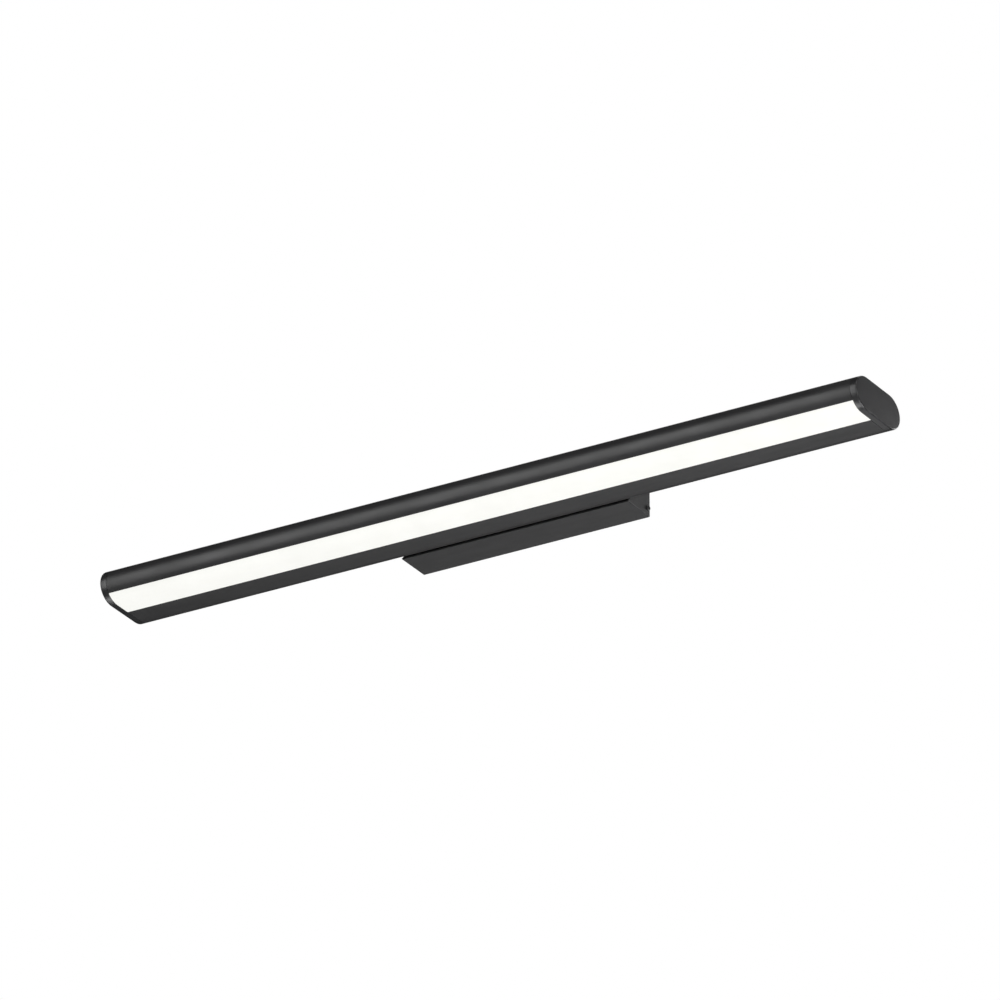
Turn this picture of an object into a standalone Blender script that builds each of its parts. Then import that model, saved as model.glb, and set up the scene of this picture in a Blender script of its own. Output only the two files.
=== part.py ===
"""Wall-mounted vanity light bar: a slim extruded bar on a shallow wall box that hides the LED driver.

X runs along the bar, +Y points into the wall and +Z is up. The origin is the middle of the wall plate's
back face, so the wall is the plane Y = 0 and everything stands in front of it, towards -Y.
Left and right are as seen by someone who faces the wall.
"""

import math

import bmesh
import bpy
from mathutils import Vector

MM = 0.001

# Fits
FIT = 0.3 * MM  # between two pieces that touch or screw together
WELD = 0.001 * MM  # distance at which doubled points become one
OVER = 1 * MM  # how far a cutter goes past the face that it cuts
SHARP = math.radians(35)

# Bar: flat top and bottom, half-elliptical front and back
BAR_LENGTH = 600 * MM
BAR_DEPTH = 60 * MM
BAR_HEIGHT = 25 * MM
BAR_FLAT = 30 * MM  # depth of the flat top and bottom
BAR_WALL = 1.8 * MM
BAR_STANDOFF = 25 * MM  # wall to the back of the bar
END_CAP_THICKNESS = 5 * MM
END_CAP_ROUNDING = 1 * MM
SPIGOT_LENGTH = 9 * MM
SPIGOT_WALL = 1.5 * MM
SEAL_THICKNESS = 0.8 * MM
SEAL_WIDTH = 2.5 * MM

# Web that carries the LED boards, and the rib behind the light chamber
WIRING_HEIGHT = 7.2 * MM  # inside height of the chamber over the web
WEB_THICKNESS = 1.5 * MM
RIB_BEHIND_MIDDLE = 1 * MM  # front face of the rib
RIB_THICKNESS = 1.5 * MM

# Diffuser, which slides in two grooves from the end of the bar
DIFFUSER_TOP_ANGLE = -41  # degrees round the front nose, below its middle
DIFFUSER_REAR = -1.6 * MM  # rear edge, from the bar's middle
DIFFUSER_THICKNESS = 2.3 * MM
TONGUE_THICKNESS = 0.8 * MM
TONGUE_REACH = 2 * MM
LEDGE_THICKNESS = 1 * MM

# LED boards
BOARD_WIDTH = 10 * MM
BOARD_THICKNESS = 1 * MM
BOARD_AHEAD = 13 * MM  # board's middle in front of the bar's middle
BOARD_END_ROOM = 9 * MM  # bar end to board end
BOARD_SPLIT = 2 * MM  # between the two boards
TAPE_WIDTH = 8 * MM
TAPE_THICKNESS = 0.5 * MM
LED_COUNT = 20  # on each board
LED_SIZE = (3.5 * MM, 2.8 * MM, 0.7 * MM)
LED_SINK = 0.2 * MM  # how far a package is let into its board

# Wall box: cover, wall plate and their screws
BOX_LENGTH = 180 * MM
BOX_HEIGHT = 22 * MM
BOX_CORNER = 0.6 * MM
BOX_WALL = 1.2 * MM
BOX_LIP_OVERLAP = 4.1 * MM  # how far the lips reach past the back of the bar
BAR_GAP = 1.5 * MM  # bar's back to the box's front wall
END_PANEL_GAP = 1 * MM  # hollowed edge of the end panels to the bar
PLATE_THICKNESS = 1.5 * MM
EAR_REACH = 12 * MM
EAR_ROOM = 1.3 * MM  # above and below each ear in the box
SIDE_SCREW_FROM_WALL = 3 * MM
SIDE_SCREW_FROM_BOTTOM = 5.5 * MM
SIDE_SCREW_RADIUS = 1 * MM
SIDE_SCREW_LENGTH = 5 * MM
SIDE_SCREW_HEAD_RADIUS = 1.8 * MM
SIDE_SCREW_HEAD_HEIGHT = 1.4 * MM
SLOT_WIDTH = 5 * MM
SLOT_LENGTH = 9 * MM

# Places along the box, each measured in from its end
SCREW_INSET = 13 * MM  # wall slots and bar screws
EARTH_INSET = 23.5 * MM
ENTRY_INSET = 34.5 * MM
TERMINAL_INSET = 44 * MM
LEAD_HOLE_INSET = 70.5 * MM
DRIVER_RIGHT_INSET = 77.5 * MM
DRIVER_LEFT_INSET = 21 * MM

# Bar fixing
SADDLE_LENGTH = 18 * MM
SADDLE_HEIGHT = 12 * MM
NUT_BAR_HEIGHT = 8 * MM
NUT_BAR_THICKNESS = 2.5 * MM
NUT_BAR_OVERHANG = 8 * MM
BAR_SCREW_RADIUS = 2 * MM
BAR_SCREW_HEAD_RADIUS = 3.5 * MM
BAR_SCREW_HEAD_HEIGHT = 2.2 * MM
BAR_SCREW_SPARE = 2 * MM  # thread past the nut bar
SCREW_TIP = 0.3  # chamfer at a screw's end, as a share of its radius
RECESS_WIDTH = 0.28  # of a screw's recess, as a share of its head's radius
CROSS_LENGTH = 1.2
SLOT_RECESS_LENGTH = 2.4  # right across the head
RECESS_FLOOR = 0.45  # height of the recess's floor, as a share of the head's height

# Holes that leads and the supply cable pass through
LEAD_HOLE_RADIUS = 4 * MM
LEAD_BORE_RADIUS = 2.3 * MM
RIB_HOLE_RADIUS = 2.6 * MM
RIB_HOLE_X = 9 * MM
ENTRY_HOLE_RADIUS = 5.5 * MM
ENTRY_BORE_RADIUS = 3.5 * MM
FLANGE_REACH = 1.5 * MM
FLANGE_THICKNESS = 1 * MM
FLANGE_CHAMFER = 0.3 * MM

# Driver
DRIVER_ROOM = 1.1 * MM  # above and below the driver in the box
DRIVER_BACK_ROOM = 6 * MM  # in front of the wall plate, for screw heads and the supply cable
DRIVER_WALL = 1.2 * MM
DRIVER_EAR = 7 * MM
DRIVER_BOARD_THICKNESS = 1.2 * MM
SOLDER_ROOM = 1.5 * MM  # behind the board, for its solder joints
INPUT_FROM_LID = 3 * MM
INPUT_SPREAD = 4.2 * MM  # input wires in the driver's end, above and below its middle
OUTPUT_SPREAD = 1.8 * MM
DRIVER_SCREW_RADIUS = 1.25 * MM
DRIVER_SCREW_HEAD_RADIUS = 2.2 * MM
DRIVER_SCREW_HEAD_HEIGHT = 1.4 * MM

# Terminal block and earth point
TERMINAL_LENGTH = 18 * MM
TERMINAL_DEPTH = 11 * MM
TERMINAL_ROOM = 0.8 * MM  # above and below the block in the box
TERMINAL_AXIS_FROM_BACK = 4.7 * MM
POLE_NAMES = ("earth", "neutral", "live")
SLEEVE_RADIUS = 1.8 * MM
SLEEVE_BORE = 1.25 * MM
SLEEVE_INSET = 2 * MM  # sleeve end inside the block's face
POLE_SCREW_RADIUS = 1.1 * MM
POLE_SCREW_HEAD_RADIUS = 1.5 * MM
POLE_SCREW_HEAD_HEIGHT = 0.9 * MM
POLE_SCREW_DEPTH = 1.5 * MM  # head's underside below the block's front face
PEG_RADIUS = 1.2 * MM
EARTH_SCREW_RADIUS = 1.75 * MM
EARTH_SCREW_HEAD_RADIUS = 3.2 * MM
EARTH_SCREW_HEAD_HEIGHT = 2 * MM
EARTH_TAG_RADIUS = 3.3 * MM
EARTH_TAG_THICKNESS = 0.8 * MM
EARTH_NECK_WIDTH = 2.4 * MM
EARTH_NECK_REACH = 2.5 * MM  # past the ring

# Wires
MAINS_WIRE = 1.8 * MM
LEAD_WIRE = 1.3 * MM
LINK_WIRE = 0.9 * MM
POLE_BITE = 3.2 * MM  # how far a wire goes into its pole
PAD_INSET = 1.5 * MM  # solder pads from the board's edge
PAD_X = {"red": 11 * MM, "black": 7 * MM}
LEAD_SPREAD = 0.9 * MM  # each lead from the middle of the grommet and the rib's hole
LINK_REACH = 3 * MM
LINK_SAG = 2.2 * MM

# Worked out from the sizes above
BAR_BACK = -BAR_STANDOFF
BAR_Y = BAR_BACK - BAR_DEPTH / 2
NOSE_REACH = (BAR_DEPTH - BAR_FLAT) / 2
HOUSING_END = BAR_LENGTH / 2 - END_CAP_THICKNESS - FIT
BOX_END = BOX_LENGTH / 2
BOX_FRONT = BAR_BACK - BOX_LIP_OVERLAP
FRONT_WALL = BAR_BACK + BAR_GAP
FRONT_WALL_INSIDE = FRONT_WALL + BOX_WALL
BOX_INSIDE_END = BOX_END - BOX_WALL
BOX_INSIDE_TOP = BOX_HEIGHT / 2 - BOX_WALL
PLATE_FRONT = -PLATE_THICKNESS
SCREW_X = BOX_END - SCREW_INSET
EARTH_X = BOX_END - EARTH_INSET
ENTRY_X = BOX_END - ENTRY_INSET
LEAD_X = BOX_END - LEAD_HOLE_INSET
TERMINAL_RIGHT = BOX_END - TERMINAL_INSET
TERMINAL_LEFT = TERMINAL_RIGHT - TERMINAL_LENGTH
TERMINAL_BACK = PLATE_FRONT - FIT
TERMINAL_AXIS = TERMINAL_BACK - TERMINAL_AXIS_FROM_BACK
POLE_PITCH = 2 * (BOX_INSIDE_TOP - TERMINAL_ROOM) / len(POLE_NAMES)
DRIVER_LEFT = -BOX_END + DRIVER_LEFT_INSET
DRIVER_RIGHT = BOX_END - DRIVER_RIGHT_INSET
DRIVER_FRONT = FRONT_WALL_INSIDE + FIT
DRIVER_BACK = PLATE_FRONT - DRIVER_BACK_ROOM
DRIVER_TOP = BOX_INSIDE_TOP - DRIVER_ROOM
CASE_LEFT = DRIVER_LEFT + DRIVER_EAR
CASE_RIGHT = DRIVER_RIGHT - DRIVER_EAR
CASE_BACK = DRIVER_BACK - DRIVER_WALL - FIT
DRIVER_BOARD_FRONT = DRIVER_FRONT + DRIVER_WALL + SOLDER_ROOM
DRIVER_BOARD_BACK = DRIVER_BOARD_FRONT + DRIVER_BOARD_THICKNESS
INPUT_Y = CASE_BACK - INPUT_FROM_LID
OUTPUT_Y = DRIVER_BOARD_BACK + LEAD_WIRE
EARTH_NECK_END = -EARTH_TAG_RADIUS - EARTH_NECK_REACH
SIDE_SCREW_Z = SIDE_SCREW_FROM_BOTTOM - BOX_HEIGHT / 2
EAR_TOP = BOX_INSIDE_TOP - EAR_ROOM
WEB_TOP = BAR_HEIGHT / 2 - BAR_WALL - WIRING_HEIGHT
WEB_UNDERSIDE = WEB_TOP - WEB_THICKNESS
TAPE_TOP = WEB_UNDERSIDE - FIT
BOARD_TOP = TAPE_TOP - TAPE_THICKNESS - FIT
BOARD_UNDERSIDE = BOARD_TOP - BOARD_THICKNESS
BOARD_Y = BAR_Y - BOARD_AHEAD
LIP_THICKNESS = DIFFUSER_THICKNESS - TONGUE_THICKNESS - FIT
LEDGE_TOP = DIFFUSER_THICKNESS + FIT
RIB_HOLE_Z = (LEDGE_TOP + LEDGE_THICKNESS - BAR_HEIGHT / 2 + WEB_UNDERSIDE) / 2

FINISHES = {
    "bar_coat": ((0.035, 0.035, 0.037), 0.5, 0.3),
    "box_coat": ((0.035, 0.035, 0.037), 0.5, 0.3),
    "cap_coat": ((0.035, 0.035, 0.037), 0.5, 0.1),
    "opal": ((0.9, 0.9, 0.87), 0.4, 0.0),
    "black_plastic": ((0.03, 0.03, 0.032), 0.45, 0.0),
    "white_plastic": ((0.8, 0.8, 0.77), 0.5, 0.0),
    "rubber": ((0.02, 0.02, 0.02), 0.85, 0.0),
    "zinc_steel": ((0.55, 0.56, 0.58), 0.35, 1.0),
    "black_steel": ((0.03, 0.03, 0.031), 0.4, 1.0),
    "brass": ((0.75, 0.55, 0.2), 0.3, 1.0),
    "board_white": ((0.85, 0.86, 0.84), 0.4, 0.0),
    "board_green": ((0.02, 0.2, 0.07), 0.4, 0.0),
    "tape_grey": ((0.5, 0.5, 0.5), 0.8, 0.0),
    "ferrite": ((0.06, 0.05, 0.05), 0.6, 0.0),
    "wire_brown": ((0.2, 0.08, 0.03), 0.5, 0.0),
    "wire_blue": ((0.02, 0.1, 0.5), 0.5, 0.0),
    "wire_green_yellow": ((0.35, 0.55, 0.05), 0.5, 0.0),
    "wire_red": ((0.6, 0.02, 0.02), 0.5, 0.0),
    "wire_black": ((0.02, 0.02, 0.02), 0.5, 0.0),
}
SIDES = (("left", -1), ("right", 1))


# ---------------------------------------------------------------- scene and shape helpers


def clear_scene():
    for obj in list(bpy.data.objects):
        bpy.data.objects.remove(obj, do_unlink=True)


def new_collection(name):
    collection = bpy.data.collections.new(name)
    bpy.context.scene.collection.children.link(collection)
    return collection


def make_materials():
    for name, (colour, roughness, metallic) in FINISHES.items():
        material = bpy.data.materials.new(name)
        material.use_nodes = True
        shader = material.node_tree.nodes["Principled BSDF"]
        shader.inputs["Base Color"].default_value = (*colour, 1)
        shader.inputs["Roughness"].default_value = roughness
        shader.inputs["Metallic"].default_value = metallic
        material.diffuse_color = (*colour, 1)


def add_object(name, data, finish):
    """A part of the light when it has a finish, and a cutter when it has none."""
    obj = bpy.data.objects.new(name, data)
    if finish:
        PARTS.objects.link(obj)
        data.materials.append(bpy.data.materials[finish])
    else:
        CUTTERS.objects.link(obj)
        obj.hide_render = True
        obj.display_type = "WIRE"
    return obj


def smooth(mesh):
    mesh.shade_smooth()
    mesh.set_sharp_from_angle(angle=SHARP)


def baked(source, finish):
    """The source's evaluated shape as a welded mesh object of the same name, in the same place."""
    bpy.context.view_layer.update()
    graph = bpy.context.evaluated_depsgraph_get()
    mesh = bpy.data.meshes.new_from_object(source.evaluated_get(graph))
    mesh.materials.clear()
    shape = bmesh.new()
    shape.from_mesh(mesh)
    bmesh.ops.remove_doubles(shape, verts=shape.verts, dist=WELD)
    bmesh.ops.recalc_face_normals(shape, faces=shape.faces)
    shape.to_mesh(mesh)
    shape.free()
    smooth(mesh)
    name = source.name
    place = source.matrix_world.copy()
    bpy.data.objects.remove(source, do_unlink=True)
    obj = add_object(name, mesh, finish)
    obj.matrix_world = place
    return obj


def box(name, low, high, finish=None):
    """A box between two corners."""
    size = [top - bottom for bottom, top in zip(low, high)]
    mesh = bpy.data.meshes.new(name)
    shape = bmesh.new()
    bmesh.ops.create_cube(shape, size=1)
    bmesh.ops.scale(shape, vec=size, verts=shape.verts)
    shape.to_mesh(mesh)
    shape.free()
    obj = add_object(name, mesh, finish)
    obj.location = [(bottom + top) / 2 for bottom, top in zip(low, high)]
    return obj


def rod(name, start, end, radius, finish=None, segments=32):
    """A cylinder between two points."""
    span = Vector(end) - Vector(start)
    mesh = bpy.data.meshes.new(name)
    shape = bmesh.new()
    bmesh.ops.create_cone(
        shape, cap_ends=True, segments=segments, radius1=radius, radius2=radius, depth=span.length
    )
    shape.to_mesh(mesh)
    shape.free()
    smooth(mesh)
    obj = add_object(name, mesh, finish)
    obj.location = (Vector(start) + Vector(end)) / 2
    obj.rotation_euler = span.to_track_quat("Z", "Y").to_euler()
    return obj


def turned(name, profile, place, direction, finish, segments=16):
    """A turned shape: (radius, height) points down its outer side, its axis along direction."""
    mesh = bpy.data.meshes.new(name)
    shape = bmesh.new()
    points = [shape.verts.new((radius, 0, height)) for radius, height in profile]
    for first, second in zip(points, points[1:]):
        shape.edges.new((first, second))
    shape.to_mesh(mesh)
    shape.free()
    source = bpy.data.objects.new(name, mesh)
    CUTTERS.objects.link(source)
    screw = source.modifiers.new("Turn", "SCREW")
    screw.steps = segments
    screw.render_steps = segments
    screw.use_merge_vertices = True
    screw.merge_threshold = 2 * WELD
    source.location = place
    source.rotation_euler = Vector(direction).to_track_quat("Z", "Y").to_euler()
    return baked(source, finish)


def extruded(name, loops, axis, start, end, finish=None):
    """Closed outlines, the first with the others as holes, extruded along X or Y.

    Outline points are (Y, Z) for X, and (X, Z) for Y.
    """
    curve = bpy.data.curves.new(name, "CURVE")
    curve.dimensions = "2D"
    curve.fill_mode = "BOTH"
    curve.extrude = (end - start) / 2
    for loop in loops:
        spline = curve.splines.new("POLY")
        spline.points.add(len(loop) - 1)
        for point, (across, up) in zip(spline.points, loop):
            point.co = (across, up, 0, 1)
        spline.use_cyclic_u = True
    source = bpy.data.objects.new(name, curve)
    CUTTERS.objects.link(source)
    middle = (start + end) / 2
    source.location = (middle, 0, 0) if axis == "X" else (0, middle, 0)
    source.rotation_euler = (math.pi / 2, 0, math.pi / 2 if axis == "X" else 0)
    return baked(source, finish)


def cut(obj, *cutters):
    for cutter in cutters:
        modifier = obj.modifiers.new("Cut " + cutter.name, "BOOLEAN")
        modifier.operation = "DIFFERENCE"
        modifier.object = cutter


def join(obj, *others):
    for other in others:
        modifier = obj.modifiers.new("Join " + other.name, "BOOLEAN")
        modifier.operation = "UNION"
        modifier.object = other


def rounded(obj, width, segments=2):
    modifier = obj.modifiers.new("Rounded edges", "BEVEL")
    modifier.width = width
    modifier.segments = segments
    modifier.limit_method = "ANGLE"
    return obj


def arc(centre, radius, start, end, steps):
    """Points round a circle, from one angle to another in degrees."""
    angles = [math.radians(start + (end - start) * step / steps) for step in range(steps + 1)]
    return [(centre[0] + radius * math.cos(a), centre[1] + radius * math.sin(a)) for a in angles]


def rounded_rectangle(centre, width, height, radius, steps=4):
    points = []
    for quarter, (right, up) in enumerate(((1, 1), (-1, 1), (-1, -1), (1, -1))):
        corner = (
            centre[0] + right * (width / 2 - radius),
            centre[1] + up * (height / 2 - radius),
        )
        points += arc(corner, radius, 90 * quarter, 90 * quarter + 90, steps)
    return points


def wire(name, route, diameter, finish):
    """A round wire on a smooth curve through the route's points."""
    ends = [2 * route[0] - route[1], *route, 2 * route[-1] - route[-2]]
    points = []
    for a, b, c, d in zip(ends, ends[1:], ends[2:], ends[3:]):
        steps = max(2, round((c - b).length / (1.5 * diameter)))
        for step in range(steps):
            t = step / steps
            square = (2 * a - 5 * b + 4 * c - d) * t**2
            cube = (3 * b - a - 3 * c + d) * t**3
            points.append((2 * b + (c - a) * t + square + cube) / 2)
    points.append(route[-1])
    curve = bpy.data.curves.new(name, "CURVE")
    curve.dimensions = "3D"
    curve.bevel_depth = diameter / 2
    curve.bevel_resolution = 2
    curve.use_fill_caps = True
    spline = curve.splines.new("POLY")
    spline.points.add(len(points) - 1)
    for point, place in zip(spline.points, points):
        point.co = (*place, 1)
    return add_object(name, curve, finish)


def screw(
    name, seat, direction, radius, length, head_radius, head_height, finish="zinc_steel", slotted=False
):
    """A domed screw. The seat is the middle of the head's underside, and direction points at the head."""
    steps = 3
    dome = [math.pi / 2 * step / steps for step in range(steps + 1)]
    profile = [(head_radius * math.sin(a), head_height * math.cos(a)) for a in dome]
    tip = SCREW_TIP * radius
    profile += [(radius, 0), (radius, tip - length), (radius - tip, -length), (0, -length)]
    obj = turned(name, profile, seat, direction, finish)
    half_width = RECESS_WIDTH / 2 * head_radius
    half_length = (SLOT_RECESS_LENGTH if slotted else CROSS_LENGTH) / 2 * head_radius
    arms = ((half_length, half_width), (half_width, half_length))
    for number, (across, along) in enumerate(arms[:1] if slotted else arms):
        low = (-across, -along, RECESS_FLOOR * head_height)
        arm = box(f"{name}_recess_{number}", low, (across, along, head_height + OVER))
        middle = Vector(arm.location)
        arm.rotation_euler = Vector(direction).to_track_quat("Z", "Y").to_euler()
        arm.location = Vector(seat) + arm.rotation_euler.to_matrix() @ middle
        cut(obj, arm)
    return obj


# ---------------------------------------------------------------- bar section


def nose(side, inset, start, end, steps=20):
    """Points on the bar's front (-1) or back (1) nose, moved in by inset. Angles are in degrees."""
    points = []
    for step in range(steps + 1):
        a = math.radians(start + (end - start) * step / steps)
        out = Vector((side * BAR_HEIGHT / 2 * math.cos(a), NOSE_REACH * math.sin(a))).normalized()
        y = BAR_Y + side * (BAR_FLAT / 2 + NOSE_REACH * math.cos(a)) - inset * out.x
        points.append((y, BAR_HEIGHT / 2 * math.sin(a) - inset * out.y))
    return points


def nose_angle(inset, height):
    """The angle at which a nose that is moved in by inset is at this height."""
    low, high = -90.0, 90.0
    for _ in range(40):
        middle = (low + high) / 2
        if nose(1, inset, middle, middle, 1)[0][1] < height:
            low = middle
        else:
            high = middle
    return low


def bar_outline(inset=0.0):
    return nose(-1, inset, -90, 90) + nose(1, inset, 90, -90)


def degrees_along(distance, angle):
    """How many degrees round the nose a distance along its surface is, at this angle."""
    a = math.radians(angle)
    return math.degrees(distance / math.hypot(NOSE_REACH * math.sin(a), BAR_HEIGHT / 2 * math.cos(a)))


def wiring_chamber(clearance=0.0):
    """The L-shaped chamber over the web and behind the rib, moved in by a clearance."""
    inset = BAR_WALL + clearance
    floor = WEB_TOP + clearance
    rib_back = BAR_Y + RIB_BEHIND_MIDDLE + RIB_THICKNESS + clearance
    points = nose(-1, inset, nose_angle(inset, floor), 90, 14) + nose(1, inset, 90, -90)
    return points + [(rib_back, inset - BAR_HEIGHT / 2), (rib_back, floor)]


def light_chamber():
    """The housing's inner path, from the diffuser's rear edge round to its top edge."""
    bottom = -BAR_HEIGHT / 2
    rear = BAR_Y + DIFFUSER_REAR
    rib = BAR_Y + RIB_BEHIND_MIDDLE
    ledge_inside = LEDGE_TOP + LEDGE_THICKNESS
    groove_end = DIFFUSER_TOP_ANGLE + degrees_along(TONGUE_REACH + FIT, DIFFUSER_TOP_ANGLE)
    ledge_root = groove_end + degrees_along(LEDGE_THICKNESS, groove_end)
    lip = DIFFUSER_TOP_ANGLE + degrees_along(FIT / 2, DIFFUSER_TOP_ANGLE)
    points = [
        (rear + FIT / 2, bottom),
        (rear + FIT / 2, bottom + LIP_THICKNESS),
        (rib, bottom + LIP_THICKNESS),
        (rib, bottom + LEDGE_TOP),
        (rear, bottom + LEDGE_TOP),
        (rear, bottom + ledge_inside),
        (rib, bottom + ledge_inside),
        (rib, WEB_UNDERSIDE),
    ]
    points += nose(-1, BAR_WALL, nose_angle(BAR_WALL, WEB_UNDERSIDE), ledge_root, 8)
    points += nose(-1, ledge_inside, ledge_root, DIFFUSER_TOP_ANGLE, 3)
    points += nose(-1, LEDGE_TOP, DIFFUSER_TOP_ANGLE, groove_end, 3)
    return points + nose(-1, LIP_THICKNESS, groove_end, lip, 3)


def make_bar_housing():
    """The extrusion, with holes through its back for the screws and leads and one through its rib."""
    lip = DIFFUSER_TOP_ANGLE + degrees_along(FIT / 2, DIFFUSER_TOP_ANGLE)
    outside = nose(-1, 0, lip, 90) + nose(1, 0, 90, -90)
    profile = outside + light_chamber()
    housing = extruded(
        "bar_housing", [profile, wiring_chamber()], "X", -HOUSING_END, HOUSING_END, "bar_coat"
    )
    wall_hole = (BAR_BACK - BAR_WALL - 2 * OVER, BAR_BACK + OVER)
    for side, sign in SIDES:
        x = sign * SCREW_X
        name = f"housing_screw_hole_{side}"
        cut(housing, rod(name, (x, wall_hole[0], 0), (x, wall_hole[1], 0), BAR_SCREW_RADIUS + FIT))
    cut(
        housing,
        rod("housing_lead_hole", (LEAD_X, wall_hole[0], 0), (LEAD_X, wall_hole[1], 0), LEAD_HOLE_RADIUS),
    )
    rib = BAR_Y + RIB_BEHIND_MIDDLE
    start = (RIB_HOLE_X, rib - OVER, RIB_HOLE_Z)
    end = (RIB_HOLE_X, rib + RIB_THICKNESS + OVER, RIB_HOLE_Z)
    cut(housing, rod("rib_hole", start, end, RIB_HOLE_RADIUS))


def make_diffuser():
    """An opal strip flush with the bar's skin, with a tongue along each edge."""
    bottom = -BAR_HEIGHT / 2
    rear = BAR_Y + DIFFUSER_REAR
    shoulder = DIFFUSER_THICKNESS - TONGUE_THICKNESS
    gap = degrees_along(FIT / 2, DIFFUSER_TOP_ANGLE)
    top = DIFFUSER_TOP_ANGLE - gap
    tongue_top = top + degrees_along(TONGUE_REACH, top)
    outside = nose(-1, 0, -90, top, 12) + nose(-1, shoulder, top, tongue_top, 3)
    inside = nose(-1, DIFFUSER_THICKNESS, tongue_top, -90, 14)
    tongue_rear = rear - FIT / 2 + TONGUE_REACH
    edge = [
        (tongue_rear, bottom + DIFFUSER_THICKNESS),
        (tongue_rear, bottom + shoulder),
        (rear - FIT / 2, bottom + shoulder),
        (rear - FIT / 2, bottom),
    ]
    extruded("diffuser", [outside + inside + edge], "X", -HOUSING_END, HOUSING_END, "opal")


def round_rim(obj, radius):
    """Rounds the rim of a plate's outer face, the one at the end of its local Z."""
    shape = bmesh.new()
    shape.from_mesh(obj.data)
    flat = math.radians(1)
    bmesh.ops.dissolve_limit(shape, angle_limit=flat, verts=shape.verts, edges=shape.edges)
    top = max(vert.co.z for vert in shape.verts)
    rim = [edge for edge in shape.edges if all(vert.co.z > top - WELD for vert in edge.verts)]
    bmesh.ops.bevel(shape, geom=rim, offset=radius, segments=4, profile=0.5, affect="EDGES")
    shape.to_mesh(obj.data)
    shape.free()
    smooth(obj.data)


def make_end_cap(side, sign):
    """A cap with a hollow spigot that pushes into the wiring chamber, and a seal round the spigot."""
    outer = BAR_LENGTH / 2
    inner = outer - END_CAP_THICKNESS
    seal_clearance = FIT
    spigot_clearance = seal_clearance + SEAL_THICKNESS + FIT
    cap = extruded(f"end_cap_{side}", [bar_outline()], "X", inner, outer, "cap_coat")
    round_rim(cap, END_CAP_ROUNDING)
    loops = [wiring_chamber(spigot_clearance), wiring_chamber(spigot_clearance + SPIGOT_WALL)]
    spigot = extruded(f"spigot_{side}", loops, "X", inner - SPIGOT_LENGTH, inner + OVER)
    join(cap, spigot)
    seal_end = HOUSING_END - SEAL_WIDTH
    rings = [wiring_chamber(seal_clearance), wiring_chamber(seal_clearance + SEAL_THICKNESS)]
    seal = extruded(f"end_seal_{side}", rings, "X", seal_end - SEAL_WIDTH, seal_end, "rubber")
    if sign < 0:
        for piece in (cap, spigot, seal):
            turn_to_left(piece)


def turn_to_left(obj):
    """Mirrors a piece of the right-hand end to the left-hand end, and turns its faces out again."""
    shape = bmesh.new()
    shape.from_mesh(obj.data)
    bmesh.ops.scale(shape, vec=(1, 1, -1), verts=shape.verts)
    bmesh.ops.reverse_faces(shape, faces=shape.faces)
    shape.to_mesh(obj.data)
    shape.free()
    obj.location.x = -obj.location.x


def make_led_board(side, sign):
    """A board hung under the web on thermal tape, with its row of LED packages."""
    near = BOARD_SPLIT / 2
    far = BAR_LENGTH / 2 - BOARD_END_ROOM
    length = far - near
    start, end = sorted((sign * near, sign * far))
    half_width = BOARD_WIDTH / 2
    low = (start, BOARD_Y - half_width, BOARD_UNDERSIDE)
    board = box(f"led_board_{side}", low, (end, BOARD_Y + half_width, BOARD_TOP), "board_white")
    pitch = length / LED_COUNT
    packages = box(f"led_row_{side}", (0, 0, 0), LED_SIZE)
    packages.location = (start + pitch / 2, BOARD_Y, BOARD_UNDERSIDE - LED_SIZE[2] / 2 + LED_SINK)
    row = packages.modifiers.new("Row", "ARRAY")
    row.count = LED_COUNT
    row.use_relative_offset = False
    row.use_constant_offset = True
    row.constant_offset_displace = (pitch, 0, 0)
    join(board, packages)
    half_tape = TAPE_WIDTH / 2
    low = (start, BOARD_Y - half_tape, TAPE_TOP - TAPE_THICKNESS)
    box(f"thermal_tape_{side}", low, (end, BOARD_Y + half_tape, TAPE_TOP), "tape_grey")


# ---------------------------------------------------------------- wall box


def make_bracket_cover():
    """The box: open at the wall, with lips and hollowed end panels that wrap the bar's back."""
    outline = rounded_rectangle((0, 0), BOX_LENGTH, BOX_HEIGHT, BOX_CORNER)
    cover = extruded("bracket_cover", [outline], "Y", BOX_FRONT, -FIT, "box_coat")
    inside = (BOX_INSIDE_END, BOX_INSIDE_TOP)
    back = box(
        "cover_inside", (-inside[0], FRONT_WALL_INSIDE, -inside[1]), (inside[0], OVER, inside[1])
    )
    front = box(
        "cover_front_pocket",
        (-inside[0], BOX_FRONT - OVER, -inside[1]),
        (inside[0], FRONT_WALL, inside[1]),
    )
    recess = extruded(
        "cover_bar_recess", [bar_outline(-END_PANEL_GAP)], "X", -BOX_LENGTH, BOX_LENGTH
    )
    lead = rod(
        "cover_lead_hole",
        (LEAD_X, FRONT_WALL - OVER, 0),
        (LEAD_X, FRONT_WALL_INSIDE + OVER, 0),
        LEAD_HOLE_RADIUS,
    )
    cut(cover, back, front, recess, lead)
    for side, sign in SIDES:
        x = sign * SCREW_X
        start, end = (x, FRONT_WALL - OVER, 0), (x, FRONT_WALL_INSIDE + OVER, 0)
        cut(cover, rod(f"cover_bar_hole_{side}", start, end, BAR_SCREW_RADIUS + FIT))
        start = (sign * (BOX_INSIDE_END - OVER), -SIDE_SCREW_FROM_WALL, SIDE_SCREW_Z)
        end = (sign * (BOX_END + OVER), -SIDE_SCREW_FROM_WALL, SIDE_SCREW_Z)
        cut(cover, rod(f"cover_side_hole_{side}", start, end, SIDE_SCREW_RADIUS + FIT, None, 24))
        x = driver_screw_x(sign)
        start, end = (x, FRONT_WALL - OVER, 0), (x, FRONT_WALL_INSIDE + OVER, 0)
        cut(cover, rod(f"cover_driver_hole_{side}", start, end, DRIVER_SCREW_RADIUS + FIT, None, 24))


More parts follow.
